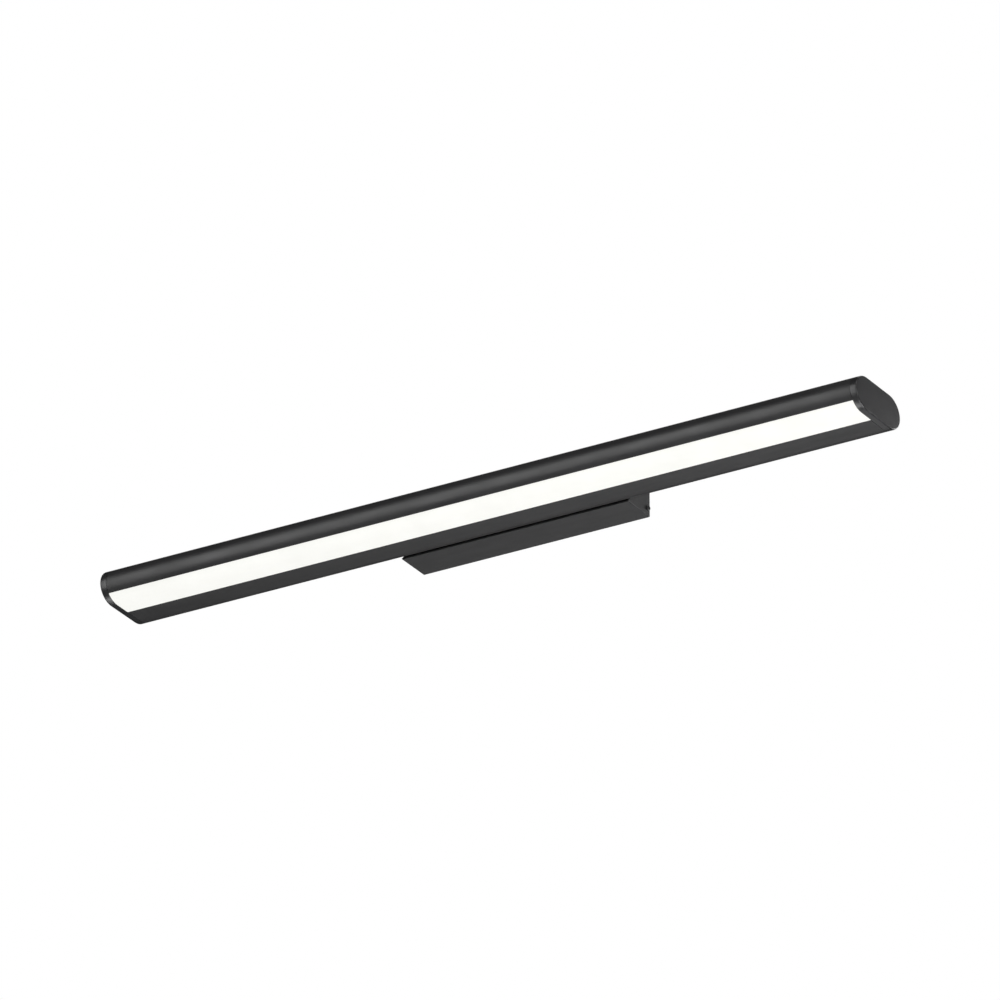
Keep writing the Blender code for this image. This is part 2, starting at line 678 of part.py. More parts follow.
def make_wall_plate():
    """The steel plate that is screwed to the wall, with a bent ear at each end for the side screws."""
    half_length = BOX_INSIDE_END - FIT
    half_height = BOX_INSIDE_TOP - FIT
    outline = rounded_rectangle((0, 0), 2 * half_length, 2 * half_height, BOX_CORNER)
    plate = extruded("wall_plate", [outline], "Y", PLATE_FRONT, 0, "zinc_steel")
    behind, before = OVER, PLATE_FRONT - OVER
    for side, sign in SIDES:
        ends = sorted((sign * half_length, sign * (half_length - PLATE_THICKNESS)))
        low = (ends[0], -EAR_REACH, -EAR_TOP)
        high = (ends[1], PLATE_FRONT / 2, EAR_TOP)
        join(plate, box(f"ear_{side}", low, high))
        slot_outline = rounded_rectangle(
            (sign * SCREW_X, 0), SLOT_LENGTH, SLOT_WIDTH, SLOT_WIDTH / 2 - WELD, 6
        )
        start = (sign * (half_length - PLATE_THICKNESS - OVER), -SIDE_SCREW_FROM_WALL, SIDE_SCREW_Z)
        end = (sign * (half_length + OVER), -SIDE_SCREW_FROM_WALL, SIDE_SCREW_Z)
        cut(
            plate,
            extruded(f"wall_slot_{side}", [slot_outline], "Y", before, behind),
            rod(f"ear_hole_{side}", start, end, SIDE_SCREW_RADIUS + FIT, None, 24),
        )
        peg = peg_place(sign)
        cut(plate, rod(f"peg_hole_{side}", (peg, behind, 0), (peg, before, 0), PEG_RADIUS + FIT, None, 24))
    cut(
        plate,
        rod("entry_hole", (ENTRY_X, before, 0), (ENTRY_X, behind, 0), ENTRY_HOLE_RADIUS),
        rod("earth_hole", (EARTH_X, before, 0), (EARTH_X, behind, 0), EARTH_SCREW_RADIUS + FIT, None, 24),
    )


def grommet(name, x, seat, direction, hole_radius, bore, length):
    """A rubber bush: its flange rests on the seat plane, and its barrel goes against direction."""
    barrel = hole_radius - FIT
    flange = hole_radius + FLANGE_REACH
    profile = [
        (bore, FLANGE_THICKNESS),
        (flange - FLANGE_CHAMFER, FLANGE_THICKNESS),
        (flange, FLANGE_THICKNESS - FLANGE_CHAMFER),
        (flange, 0),
        (barrel, 0),
        (barrel, -length),
        (bore, -length),
        (bore, FLANGE_THICKNESS),
    ]
    turned(name, profile, (x, seat, 0), (0, direction, 0), "rubber", 24)


def make_grommets():
    lead_seat = FRONT_WALL_INSIDE + FIT
    lead_length = lead_seat - nut_bar_back() - FIT
    grommet("lead_grommet", LEAD_X, lead_seat, 1, LEAD_HOLE_RADIUS, LEAD_BORE_RADIUS, lead_length)
    seat = PLATE_FRONT - FIT
    grommet("entry_grommet", ENTRY_X, seat, -1, ENTRY_HOLE_RADIUS, ENTRY_BORE_RADIUS, PLATE_THICKNESS)


def make_side_screw(side, sign):
    seat = (sign * (BOX_END + FIT), -SIDE_SCREW_FROM_WALL, SIDE_SCREW_Z)
    screw(
        f"side_screw_{side}",
        seat,
        (sign, 0, 0),
        SIDE_SCREW_RADIUS,
        SIDE_SCREW_LENGTH,
        SIDE_SCREW_HEAD_RADIUS,
        SIDE_SCREW_HEAD_HEIGHT,
        "black_steel",
    )


def nut_bar_back():
    """Back face of the nut bar, whose long edges seat in the hollow of the bar's back."""
    return nose(1, BAR_WALL, nose_angle(BAR_WALL, NUT_BAR_HEIGHT / 2), 0, 1)[0][0] - FIT


def make_bar_fixing():
    """Saddles between box and bar, and screws into a nut bar that slides in from the bar's end."""
    nut_back = nut_bar_back()
    nut_front = nut_back - NUT_BAR_THICKNESS
    reach = SCREW_X + NUT_BAR_OVERHANG
    half_height = NUT_BAR_HEIGHT / 2
    nut_bar = box(
        "nut_bar", (-reach, nut_front, -half_height), (reach, nut_back, half_height), "zinc_steel"
    )
    start, end = (LEAD_X, nut_front - OVER, 0), (LEAD_X, nut_back + OVER, 0)
    cut(nut_bar, rod("nut_bar_lead_hole", start, end, LEAD_BORE_RADIUS))
    clear_of_bar = extruded("saddle_bar_recess", [bar_outline(-FIT)], "X", -BOX_LENGTH, BOX_LENGTH)
    saddle_front = nose(1, -FIT, nose_angle(-FIT, SADDLE_HEIGHT / 2), 0, 1)[0][0] - OVER
    head_seat = FRONT_WALL_INSIDE + FIT
    length = head_seat - nut_front + BAR_SCREW_SPARE
    for side, sign in SIDES:
        x = sign * SCREW_X
        half_length = SADDLE_LENGTH / 2
        low = (x - half_length, saddle_front, -SADDLE_HEIGHT / 2)
        high = (x + half_length, FRONT_WALL - FIT, SADDLE_HEIGHT / 2)
        saddle = box(f"bar_saddle_{side}", low, high, "black_plastic")
        shaft = rod(
            f"bar_screw_way_{side}",
            (x, nut_front - OVER, 0),
            (x, FRONT_WALL, 0),
            BAR_SCREW_RADIUS + FIT,
        )
        cut(saddle, clear_of_bar, shaft)
        cut(nut_bar, shaft)
        screw(
            f"bar_screw_{side}",
            (x, head_seat, 0),
            (0, 1, 0),
            BAR_SCREW_RADIUS,
            length,
            BAR_SCREW_HEAD_RADIUS,
            BAR_SCREW_HEAD_HEIGHT,
        )


# ---------------------------------------------------------------- driver


def driver_screw_x(sign):
    return (DRIVER_LEFT if sign < 0 else DRIVER_RIGHT) - sign * DRIVER_EAR / 2


def make_driver():
    """The driver: an eared case on the box's front wall, its lid, and what the case holds."""
    case = box(
        "driver_case",
        (CASE_LEFT, DRIVER_FRONT, -DRIVER_TOP),
        (CASE_RIGHT, CASE_BACK, DRIVER_TOP),
        "white_plastic",
    )
    inside = box(
        "driver_case_inside",
        (CASE_LEFT + DRIVER_WALL, DRIVER_FRONT + DRIVER_WALL, DRIVER_WALL - DRIVER_TOP),
        (CASE_RIGHT - DRIVER_WALL, CASE_BACK + OVER, DRIVER_TOP - DRIVER_WALL),
    )
    ears = box(
        "driver_ears",
        (DRIVER_LEFT, DRIVER_FRONT, -DRIVER_TOP / 2),
        (DRIVER_RIGHT, DRIVER_FRONT + DRIVER_WALL, DRIVER_TOP / 2),
    )
    join(case, ears)
    cut(case, inside)
    for side, sign in SIDES:
        x = driver_screw_x(sign)
        hole = rod(
            f"driver_ear_hole_{side}",
            (x, DRIVER_FRONT - OVER, 0),
            (x, DRIVER_FRONT + 2 * DRIVER_WALL, 0),
            DRIVER_SCREW_RADIUS + FIT,
            None,
            24,
        )
        cut(case, hole)
        screw(
            f"driver_screw_{side}",
            (x, DRIVER_FRONT + DRIVER_WALL + FIT, 0),
            (0, 1, 0),
            DRIVER_SCREW_RADIUS,
            DRIVER_WALL + BOX_WALL + 2 * FIT,
            DRIVER_SCREW_HEAD_RADIUS,
            DRIVER_SCREW_HEAD_HEIGHT,
        )
        wires = (
            ("input", INPUT_Y, INPUT_SPREAD, MAINS_WIRE),
            ("output", OUTPUT_Y, OUTPUT_SPREAD, LEAD_WIRE),
        )
        for use, y, spread, wire_size in wires:
            z = sign * spread
            start = (CASE_RIGHT - 2 * DRIVER_WALL, y, z)
            end = (CASE_RIGHT + OVER, y, z)
            cut(case, rod(f"driver_{use}_hole_{side}", start, end, wire_size / 2 + FIT, None, 16))
    box(
        "driver_lid",
        (CASE_LEFT, CASE_BACK + FIT, -DRIVER_TOP),
        (CASE_RIGHT, DRIVER_BACK, DRIVER_TOP),
        "white_plastic",
    )
    edge = 2 * FIT
    board_left = CASE_LEFT + DRIVER_WALL + edge
    board_right = CASE_RIGHT - 4 * DRIVER_WALL
    board_top = DRIVER_TOP - DRIVER_WALL - edge
    box(
        "driver_board",
        (board_left, DRIVER_BOARD_FRONT, -board_top),
        (board_right, DRIVER_BOARD_BACK, board_top),
        "board_green",
    )
    parts_front = DRIVER_BOARD_BACK + FIT
    parts_back = CASE_BACK - 2 * FIT
    third = (board_right - board_left) / 3
    transformer = box(
        "driver_transformer",
        (board_left + third, parts_front, -0.8 * board_top),
        (board_left + 1.8 * third, parts_back, 0.8 * board_top),
        "ferrite",
    )
    rounded(transformer, 0.6 * MM)
    radius = (parts_back - parts_front) / 2
    middle = (parts_back + parts_front) / 2
    rod(
        "driver_capacitor",
        (board_left + 0.1 * third, middle, 0),
        (board_left + 0.8 * third, middle, 0),
        radius,
        "black_plastic",
    )


# ---------------------------------------------------------------- terminal block and earth point


def peg_place(sign):
    return (TERMINAL_LEFT + TERMINAL_RIGHT) / 2 + sign * TERMINAL_LENGTH / 4


def pole_height(number):
    return (number - (len(POLE_NAMES) - 1) / 2) * POLE_PITCH


def make_terminal_block():
    """Three poles one above another, each a brass sleeve with a clamping screw at either end."""
    front = TERMINAL_BACK - TERMINAL_DEPTH
    half_height = POLE_PITCH * len(POLE_NAMES) / 2
    block = box(
        "terminal_block",
        (TERMINAL_LEFT, front, -half_height),
        (TERMINAL_RIGHT, TERMINAL_BACK, half_height),
        "white_plastic",
    )
    for side, sign in SIDES:
        peg = peg_place(sign)
        start, end = (peg, TERMINAL_BACK - OVER, 0), (peg, -FIT, 0)
        join(block, rod(f"terminal_peg_{side}", start, end, PEG_RADIUS, None, 24))
    screw_seat = front + POLE_SCREW_DEPTH
    screw_end = TERMINAL_AXIS - SLEEVE_RADIUS - FIT
    for number, pole in enumerate(POLE_NAMES):
        z = pole_height(number)
        start = (TERMINAL_LEFT - OVER, TERMINAL_AXIS, z)
        end = (TERMINAL_RIGHT + OVER, TERMINAL_AXIS, z)
        cut(block, rod(f"pole_way_{pole}", start, end, SLEEVE_RADIUS + FIT, None, 24))
        start = (TERMINAL_LEFT + SLEEVE_INSET, TERMINAL_AXIS, z)
        end = (TERMINAL_RIGHT - SLEEVE_INSET, TERMINAL_AXIS, z)
        sleeve = rod(f"terminal_sleeve_{pole}", start, end, SLEEVE_RADIUS, "brass", 24)
        start = (TERMINAL_LEFT, TERMINAL_AXIS, z)
        end = (TERMINAL_RIGHT, TERMINAL_AXIS, z)
        cut(sleeve, rod(f"sleeve_bore_{pole}", start, end, SLEEVE_BORE, None, 24))
        for side, sign in SIDES:
            x = (TERMINAL_LEFT + TERMINAL_RIGHT) / 2 + sign * TERMINAL_LENGTH / 4
            start, end = (x, front - OVER, z), (x, TERMINAL_AXIS, z)
            way = rod(f"screw_way_{pole}_{side}", start, end, POLE_SCREW_HEAD_RADIUS + FIT, None, 16)
            cut(block, way)
            screw(
                f"terminal_screw_{pole}_{side}",
                (x, screw_seat, z),
                (0, -1, 0),
                POLE_SCREW_RADIUS,
                screw_end - screw_seat,
                POLE_SCREW_HEAD_RADIUS,
                POLE_SCREW_HEAD_HEIGHT,
                "brass",
                True,
            )


def make_earth_point():
    """A ring tag under a screw in the wall plate, its barrel turned towards the terminal block."""
    tag_back = PLATE_FRONT - FIT
    tag_front = tag_back - EARTH_TAG_THICKNESS
    tag = rod(
        "earth_tag", (EARTH_X, tag_front, 0), (EARTH_X, tag_back, 0), EARTH_TAG_RADIUS, "zinc_steel"
    )
    neck = box(
        "earth_tag_neck",
        (EARTH_X - EARTH_NECK_WIDTH / 2, tag_front, EARTH_NECK_END),
        (EARTH_X + EARTH_NECK_WIDTH / 2, tag_back, -EARTH_TAG_RADIUS / 2),
    )
    hole = rod(
        "earth_tag_hole",
        (EARTH_X, tag_front - OVER, 0),
        (EARTH_X, tag_back + OVER, 0),
        EARTH_SCREW_RADIUS + FIT,
        None,
        24,
    )
    join(tag, neck)
    cut(tag, hole)
    seat = tag_front - FIT
    screw(
        "earth_screw",
        (EARTH_X, seat, 0),
        (0, -1, 0),
        EARTH_SCREW_RADIUS,
        -seat - FIT / 2,
        EARTH_SCREW_HEAD_RADIUS,
        EARTH_SCREW_HEAD_HEIGHT,
    )


# ---------------------------------------------------------------- wires


def make_mains_wires():
    """Live and neutral from the driver to the terminal block, and earth from the block to its tag."""
    for pole, colour, sign in (("live", "wire_brown", 1), ("neutral", "wire_blue", -1)):
        z = pole_height(POLE_NAMES.index(pole))
        driver_z = sign * INPUT_SPREAD
        start = CASE_RIGHT - 2 * DRIVER_WALL
        run = TERMINAL_LEFT - CASE_RIGHT
        route = [
            Vector((start, INPUT_Y, driver_z)),
            Vector((CASE_RIGHT, INPUT_Y, driver_z)),
            Vector((CASE_RIGHT + 0.2 * run, INPUT_Y, driver_z)),
            Vector((CASE_RIGHT + 0.55 * run, INPUT_Y / 2 + TERMINAL_AXIS / 2, (driver_z + z) / 2)),
            Vector((TERMINAL_LEFT - 0.12 * run, TERMINAL_AXIS, z)),
            Vector((TERMINAL_LEFT, TERMINAL_AXIS, z)),
            Vector((TERMINAL_LEFT + POLE_BITE, TERMINAL_AXIS, z)),
        ]
        wire(f"supply_wire_{pole}", route, MAINS_WIRE, colour)
    z = pole_height(POLE_NAMES.index("earth"))
    tag_y = PLATE_FRONT - FIT - EARTH_TAG_THICKNESS - FIT - MAINS_WIRE / 2
    run = EARTH_X - TERMINAL_RIGHT
    route = [
        Vector((TERMINAL_RIGHT - POLE_BITE, TERMINAL_AXIS, z)),
        Vector((TERMINAL_RIGHT, TERMINAL_AXIS, z)),
        Vector((TERMINAL_RIGHT + 0.15 * run, TERMINAL_AXIS, z)),
        Vector((TERMINAL_RIGHT + 0.55 * run, TERMINAL_AXIS, z - 0.6 * MM)),
        Vector((EARTH_X - 0.22 * run, (TERMINAL_AXIS + tag_y) / 2, z - 1.2 * MM)),
        Vector((EARTH_X - 0.5 * MM, tag_y, EARTH_NECK_END + 0.6 * MM)),
        Vector((EARTH_X, tag_y, -EARTH_TAG_RADIUS - 0.8 * MM)),
    ]
    wire("earth_wire", route, MAINS_WIRE, "wire_green_yellow")


def make_led_leads():
    """The driver's two output leads: through the grommet and the rib to the right-hand LED board."""
    rib = BAR_Y + RIB_BEHIND_MIDDLE
    pad_y = BOARD_Y + BOARD_WIDTH / 2 - PAD_INSET
    for colour, sign in (("red", 1), ("black", -1)):
        pad_x = PAD_X[colour]
        driver_z = sign * OUTPUT_SPREAD
        beside = sign * LEAD_SPREAD
        turn = LEAD_X - CASE_RIGHT
        route = [
            Vector((CASE_RIGHT - 2 * DRIVER_WALL, OUTPUT_Y, driver_z)),
            Vector((CASE_RIGHT, OUTPUT_Y, driver_z)),
            Vector((CASE_RIGHT + 0.3 * turn, OUTPUT_Y + 1.0 * MM, 0.7 * driver_z)),
            Vector((CASE_RIGHT + 0.68 * turn, OUTPUT_Y + 1.6 * MM, 0.5 * driver_z)),
            Vector((LEAD_X - 0.6 * MM, FRONT_WALL_INSIDE + 2.6 * MM, 1.2 * beside)),
            Vector((LEAD_X, FRONT_WALL, beside)),
            Vector((LEAD_X, BAR_BACK - BAR_WALL - OVER, beside)),
            Vector((LEAD_X - 1.5 * MM, BAR_BACK - 9 * MM, beside)),
            Vector((RIB_HOLE_X + 3 * MM, rib + 9 * MM, RIB_HOLE_Z + beside)),
            Vector((RIB_HOLE_X, rib + RIB_THICKNESS + OVER, RIB_HOLE_Z + beside)),
            Vector((RIB_HOLE_X, rib - 1.5 * MM, RIB_HOLE_Z + beside)),
            Vector(((RIB_HOLE_X + pad_x) / 2, (rib + pad_y) / 2 + OVER, RIB_HOLE_Z + beside - 0.4 * MM)),
            Vector((pad_x, pad_y + 0.8 * MM, RIB_HOLE_Z / 2 + BOARD_UNDERSIDE / 2 - OVER)),
            Vector((pad_x, pad_y, BOARD_UNDERSIDE - FIT)),
        ]
        wire(f"led_lead_{colour}", route, LEAD_WIRE, f"wire_{colour}")


def make_board_links():
    """Two short jumpers that carry the supply on from the right-hand board to the left-hand one."""
    for colour, sign in (("red", -1), ("black", 1)):
        y = BOARD_Y + sign * (BOARD_WIDTH / 2 - PAD_INSET)
        low = BOARD_UNDERSIDE - FIT
        route = [
            Vector((x * LINK_REACH, y, low - drop * LINK_SAG))
            for x, drop in ((1, 0), (0.85, 0.55), (0.4, 0.95), (-0.4, 0.95), (-0.85, 0.55), (-1, 0))
        ]
        wire(f"board_link_{colour}", route, LINK_WIRE, f"wire_{colour}")


clear_scene()
PARTS = new_collection("vanity_light_bar")
CUTTERS = new_collection("cutters")
make_materials()
make_bar_housing()
make_diffuser()
make_bracket_cover()
make_wall_plate()
make_bar_fixing()
make_driver()
make_terminal_block()
make_earth_point()
for side_name, side_sign in SIDES:
    make_end_cap(side_name, side_sign)
    make_led_board(side_name, side_sign)
    make_side_screw(side_name, side_sign)
make_grommets()
make_mains_wires()
make_led_leads()
make_board_links()
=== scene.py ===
import math

import bmesh
import bpy
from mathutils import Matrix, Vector


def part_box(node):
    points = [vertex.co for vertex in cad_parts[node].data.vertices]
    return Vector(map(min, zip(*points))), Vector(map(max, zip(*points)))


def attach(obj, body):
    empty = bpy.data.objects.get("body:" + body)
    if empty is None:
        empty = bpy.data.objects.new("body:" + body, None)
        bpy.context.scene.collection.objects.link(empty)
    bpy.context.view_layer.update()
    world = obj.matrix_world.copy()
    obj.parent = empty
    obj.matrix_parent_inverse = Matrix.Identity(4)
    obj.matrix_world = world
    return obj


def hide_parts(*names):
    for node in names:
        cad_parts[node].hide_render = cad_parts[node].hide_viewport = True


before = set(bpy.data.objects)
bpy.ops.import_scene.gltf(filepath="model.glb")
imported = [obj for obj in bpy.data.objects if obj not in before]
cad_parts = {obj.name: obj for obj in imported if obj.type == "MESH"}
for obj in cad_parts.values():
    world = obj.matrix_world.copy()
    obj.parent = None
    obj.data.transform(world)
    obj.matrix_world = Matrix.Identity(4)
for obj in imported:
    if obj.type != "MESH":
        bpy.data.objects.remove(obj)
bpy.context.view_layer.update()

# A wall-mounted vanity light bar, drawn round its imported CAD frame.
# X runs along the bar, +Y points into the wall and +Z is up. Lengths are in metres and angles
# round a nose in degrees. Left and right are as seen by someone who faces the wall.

SCENE = bpy.context.scene

MM = 0.001
WELD = 0.0005 * MM  # points closer than this are one point
OVER = 1 * MM  # how far a cutter or a joined solid reaches past a face
SHARP = math.radians(30)  # a crease over this angle stays an edge
LEVEL = math.radians(1)  # faces within this angle are one face when edges are rounded

# How finely the curves are drawn
NOSE_STEPS = 48
STRIP_STEPS = 36
CHAMBER_STEPS = 32
LIGHT_WALL_STEPS = 20
GROOVE_STEPS = 6
FILLET_STEPS = 6
CORNER_STEPS = 8
SLOT_STEPS = 12
RIM_STEPS = 8
CROWN_STEPS = 8
TURNED_STEPS = 48
SMALL_HOLE_STEPS = 32

# Sizes that the frame's boxes don't give
BAR_FLAT = 30 * MM
BAR_WALL = 1.8 * MM
FIT = 0.3 * MM
WIRING_HEIGHT = 7.2 * MM
WEB_THICKNESS = 1.5 * MM
RIB_BEHIND_MIDDLE = 1 * MM
RIB_THICKNESS = 1.5 * MM
DIFFUSER_TOP_ANGLE = -41
DIFFUSER_REAR = -1.6 * MM
DIFFUSER_THICKNESS = 2.3 * MM
TONGUE_THICKNESS = 0.8 * MM
TONGUE_REACH = 2 * MM
LEDGE_THICKNESS = 1 * MM
CAP_THICKNESS = 5 * MM
CAP_ROUNDING = 1 * MM
SPIGOT_LENGTH = 9 * MM
SPIGOT_CLEARANCE = 1.4 * MM
SPIGOT_WALL = 1.5 * MM
BOX_WALL = 1.2 * MM
BOX_CORNER = 0.6 * MM
BAR_GAP = 1.5 * MM
END_PANEL_GAP = 1 * MM
PLATE_THICKNESS = 1.5 * MM
SLOT_WIDTH = 5 * MM
SLOT_LENGTH = 9 * MM
BAR_HOLE_RADIUS = 2.3 * MM
LEAD_HOLE_RADIUS = 4 * MM
RIB_HOLE_RADIUS = 2.6 * MM
RIB_HOLE_X = 9 * MM
ENTRY_HOLE_RADIUS = 5.5 * MM
EARTH_HOLE_RADIUS = 2.05 * MM
SIDE_HOLE_RADIUS = 1.3 * MM
DRIVER_HOLE_RADIUS = 1.55 * MM
PEG_HOLE_RADIUS = 1.5 * MM
EAR_INSET = 1 * MM
EAR_BITE = 0.7 * MM
SIDE_SCREW_HEAD_HEIGHT = 1.4 * MM
SIDE_SCREW_SHANK_RADIUS = 1 * MM
SIDE_SCREW_TIP_RADIUS = 0.7 * MM
THREAD_PITCH = 0.4 * MM
THREAD_DEPTH = 0.12 * MM
THREAD_START = 0.2 * MM
THREAD_SHORT = 0.6 * MM
HEAD_EDGE = 0.35  # of the head's height, below its crown
CROSS_LONG = 0.62  # of the head's radius
CROSS_SHORT = 0.14

# Roundings
SECTION_FILLET = 0.15 * MM
CHAMBER_FILLET = 0.5 * MM
SPIGOT_FILLET = 0.4 * MM
STRIP_FILLET = 0.1 * MM
MOST_OF_AN_EDGE = 0.45  # the share of an edge that one fillet may take
COVER_ROUNDING = 0.2 * MM
PLATE_ROUNDING = 0.15 * MM

SIDES = (("left", -1), ("right", 1))


def centre(node):
    low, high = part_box(node)
    return (low + high) / 2


BAR_LOW, BAR_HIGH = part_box("bar_housing")
BAR_MIDDLE = centre("bar_housing")
HALF_HEIGHT = (BAR_HIGH.z - BAR_LOW.z) / 2
NOSE_REACH = (BAR_HIGH.y - BAR_LOW.y - BAR_FLAT) / 2
WEB_TOP = HALF_HEIGHT - BAR_WALL - WIRING_HEIGHT
WEB_UNDERSIDE = WEB_TOP - WEB_THICKNESS
LIP_THICKNESS = DIFFUSER_THICKNESS - TONGUE_THICKNESS - FIT
LEDGE_TOP = DIFFUSER_THICKNESS + FIT
RIB_HOLE_Z = (LEDGE_TOP + LEDGE_THICKNESS - HALF_HEIGHT + WEB_UNDERSIDE) / 2


# ---------------------------------------------------------------- camera

CAMERA_TURN = math.radians(30.869)
CAMERA_RISE = math.radians(25.708)
CAMERA_DISTANCE = 9.443
CAMERA_LENS = 498.77
CAMERA_SENSOR = 36
CAMERA_ACROSS = 3.27 * MM
CAMERA_UP = 1.34 * MM
CAMERA_CLIP = (0.1, 60)


def make_camera():
    """A long lens, from the right, well below the bar."""
    data = bpy.data.cameras.new("camera")
    data.lens = CAMERA_LENS
    data.sensor_width = CAMERA_SENSOR
    data.clip_start, data.clip_end = CAMERA_CLIP
    camera = bpy.data.objects.new("camera", data)
    SCENE.collection.objects.link(camera)
    level = Vector((-math.sin(CAMERA_TURN), math.cos(CAMERA_TURN), 0))
    look = level * math.cos(CAMERA_RISE) + Vector((0, 0, math.sin(CAMERA_RISE)))
    across = Vector((math.cos(CAMERA_TURN), math.sin(CAMERA_TURN), 0))
    up = across.cross(look)
    camera.location = BAR_MIDDLE - look * CAMERA_DISTANCE + across * CAMERA_ACROSS + up * CAMERA_UP
    camera.rotation_mode = "QUATERNION"
    camera.rotation_quaternion = look.to_track_quat("-Z", "Y")
    SCENE.camera = camera


# ---------------------------------------------------------------- stage and light

FLOOR_DEPTH = -10
FLOOR_HALF = 40
FLOOR_THICKNESS = 0.1
FLOOR_CLOUD = 3
FLOOR_DARK = (0.84, 0.84, 0.83)
FLOOR_LIGHT = (0.87, 0.87, 0.86)
FLOOR_GLOW = 0.9
WHITE = (1, 1, 1, 1)
WORLD_LIGHT = 0.015
LIGHTS = (
    # name, direction from the bar, distance, width, height, power in watts
    ("front", (-0.46, -0.87, 0.13), 2.6, 1.1, 2.8, 46),
    ("below", (-0.46, 0.15, -0.87), 2.6, 1.1, 0.9, 26),
    ("behind_below", (-0.32, 0.74, -0.52), 2.0, 0.7, 0.7, 1.3),
    ("behind", (0.3, 0.94, 0.1), 2.6, 1.6, 1.2, 24),
    ("behind_high", (0.46, 0.77, 0.43), 2.6, 1.1, 0.9, 0.9),
    ("top", (0.1, 0.45, 0.9), 2.6, 1.6, 1.2, 8),
    ("right_top", (0.7, -0.3, 0.7), 2.6, 1.1, 0.9, 14),
    ("right_front", (0.8, -0.5, -0.1), 2.6, 1.1, 0.9, 30),
    ("right_low", (0.55, 0.1, -0.8), 1.0, 0.5, 0.4, 8),
)


def make_lights():
    """Soft panels that face the bar's middle."""
    for name, direction, distance, width, height, power in LIGHTS:
        data = bpy.data.lights.new(f"light_{name}", "AREA")
        data.shape = "RECTANGLE"
        data.size = width
        data.size_y = height
        data.energy = power
        light = bpy.data.objects.new(f"light_{name}", data)
        light.visible_camera = False
        away = Vector(direction).normalized()
        light.location = BAR_MIDDLE + away * distance
        light.rotation_euler = away.to_track_quat("Z", "Y").to_euler()
        SCENE.collection.objects.link(light)


def make_floor():
    """A plain pale floor, far under the bar, that throws no light back on it."""
    skin = Surface("floor_paint", Emission_Strength=FLOOR_GLOW)
    cloud = skin.noise(FLOOR_CLOUD)
    paint = skin.ramp(cloud, (CLOUD_LOW, FLOOR_DARK), (CLOUD_HIGH, FLOOR_LIGHT))
    skin.colour(paint)
    skin.glow(paint)
    skin.roughness(cloud, 0.8, 0.9, 0.0, 1.0)
    low = (-FLOOR_HALF, -FLOOR_HALF, FLOOR_DEPTH - FLOOR_THICKNESS)
    floor = box("floor", low, (FLOOR_HALF, FLOOR_HALF, FLOOR_DEPTH))
    floor.data.materials.append(skin.material)
    floor.visible_diffuse = False
    floor.visible_glossy = False


def make_world():
    """White to the camera, and a dim even light to the object."""
    world = bpy.data.worlds.new("studio")
    SCENE.world = world
    world.use_nodes = True
    tree = world.node_tree
    tree.nodes.clear()
    path = tree.nodes.new("ShaderNodeLightPath")
    dim = tree.nodes.new("ShaderNodeBackground")
    dim.inputs["Strength"].default_value = WORLD_LIGHT
    dim.inputs["Color"].default_value = WHITE
    bright = tree.nodes.new("ShaderNodeBackground")
    bright.inputs["Color"].default_value = WHITE
    mix = tree.nodes.new("ShaderNodeMixShader")
    out = tree.nodes.new("ShaderNodeOutputWorld")
    tree.links.new(path.outputs["Is Camera Ray"], mix.inputs["Fac"])
    tree.links.new(dim.outputs[0], mix.inputs[1])
    tree.links.new(bright.outputs[0], mix.inputs[2])
    tree.links.new(mix.outputs[0], out.inputs["Surface"])
    SCENE.view_settings.view_transform = "Standard"


# ---------------------------------------------------------------- materials

CLOUD_LOW, CLOUD_HIGH = 0.3, 0.7  # most of a noise's values lie between these
EDGE_SAMPLES = 6
MIX_SHARE, MIX_FIRST, MIX_SECOND, MIX_RESULT = 0, 6, 7, 2  # a colour Mix node's sockets


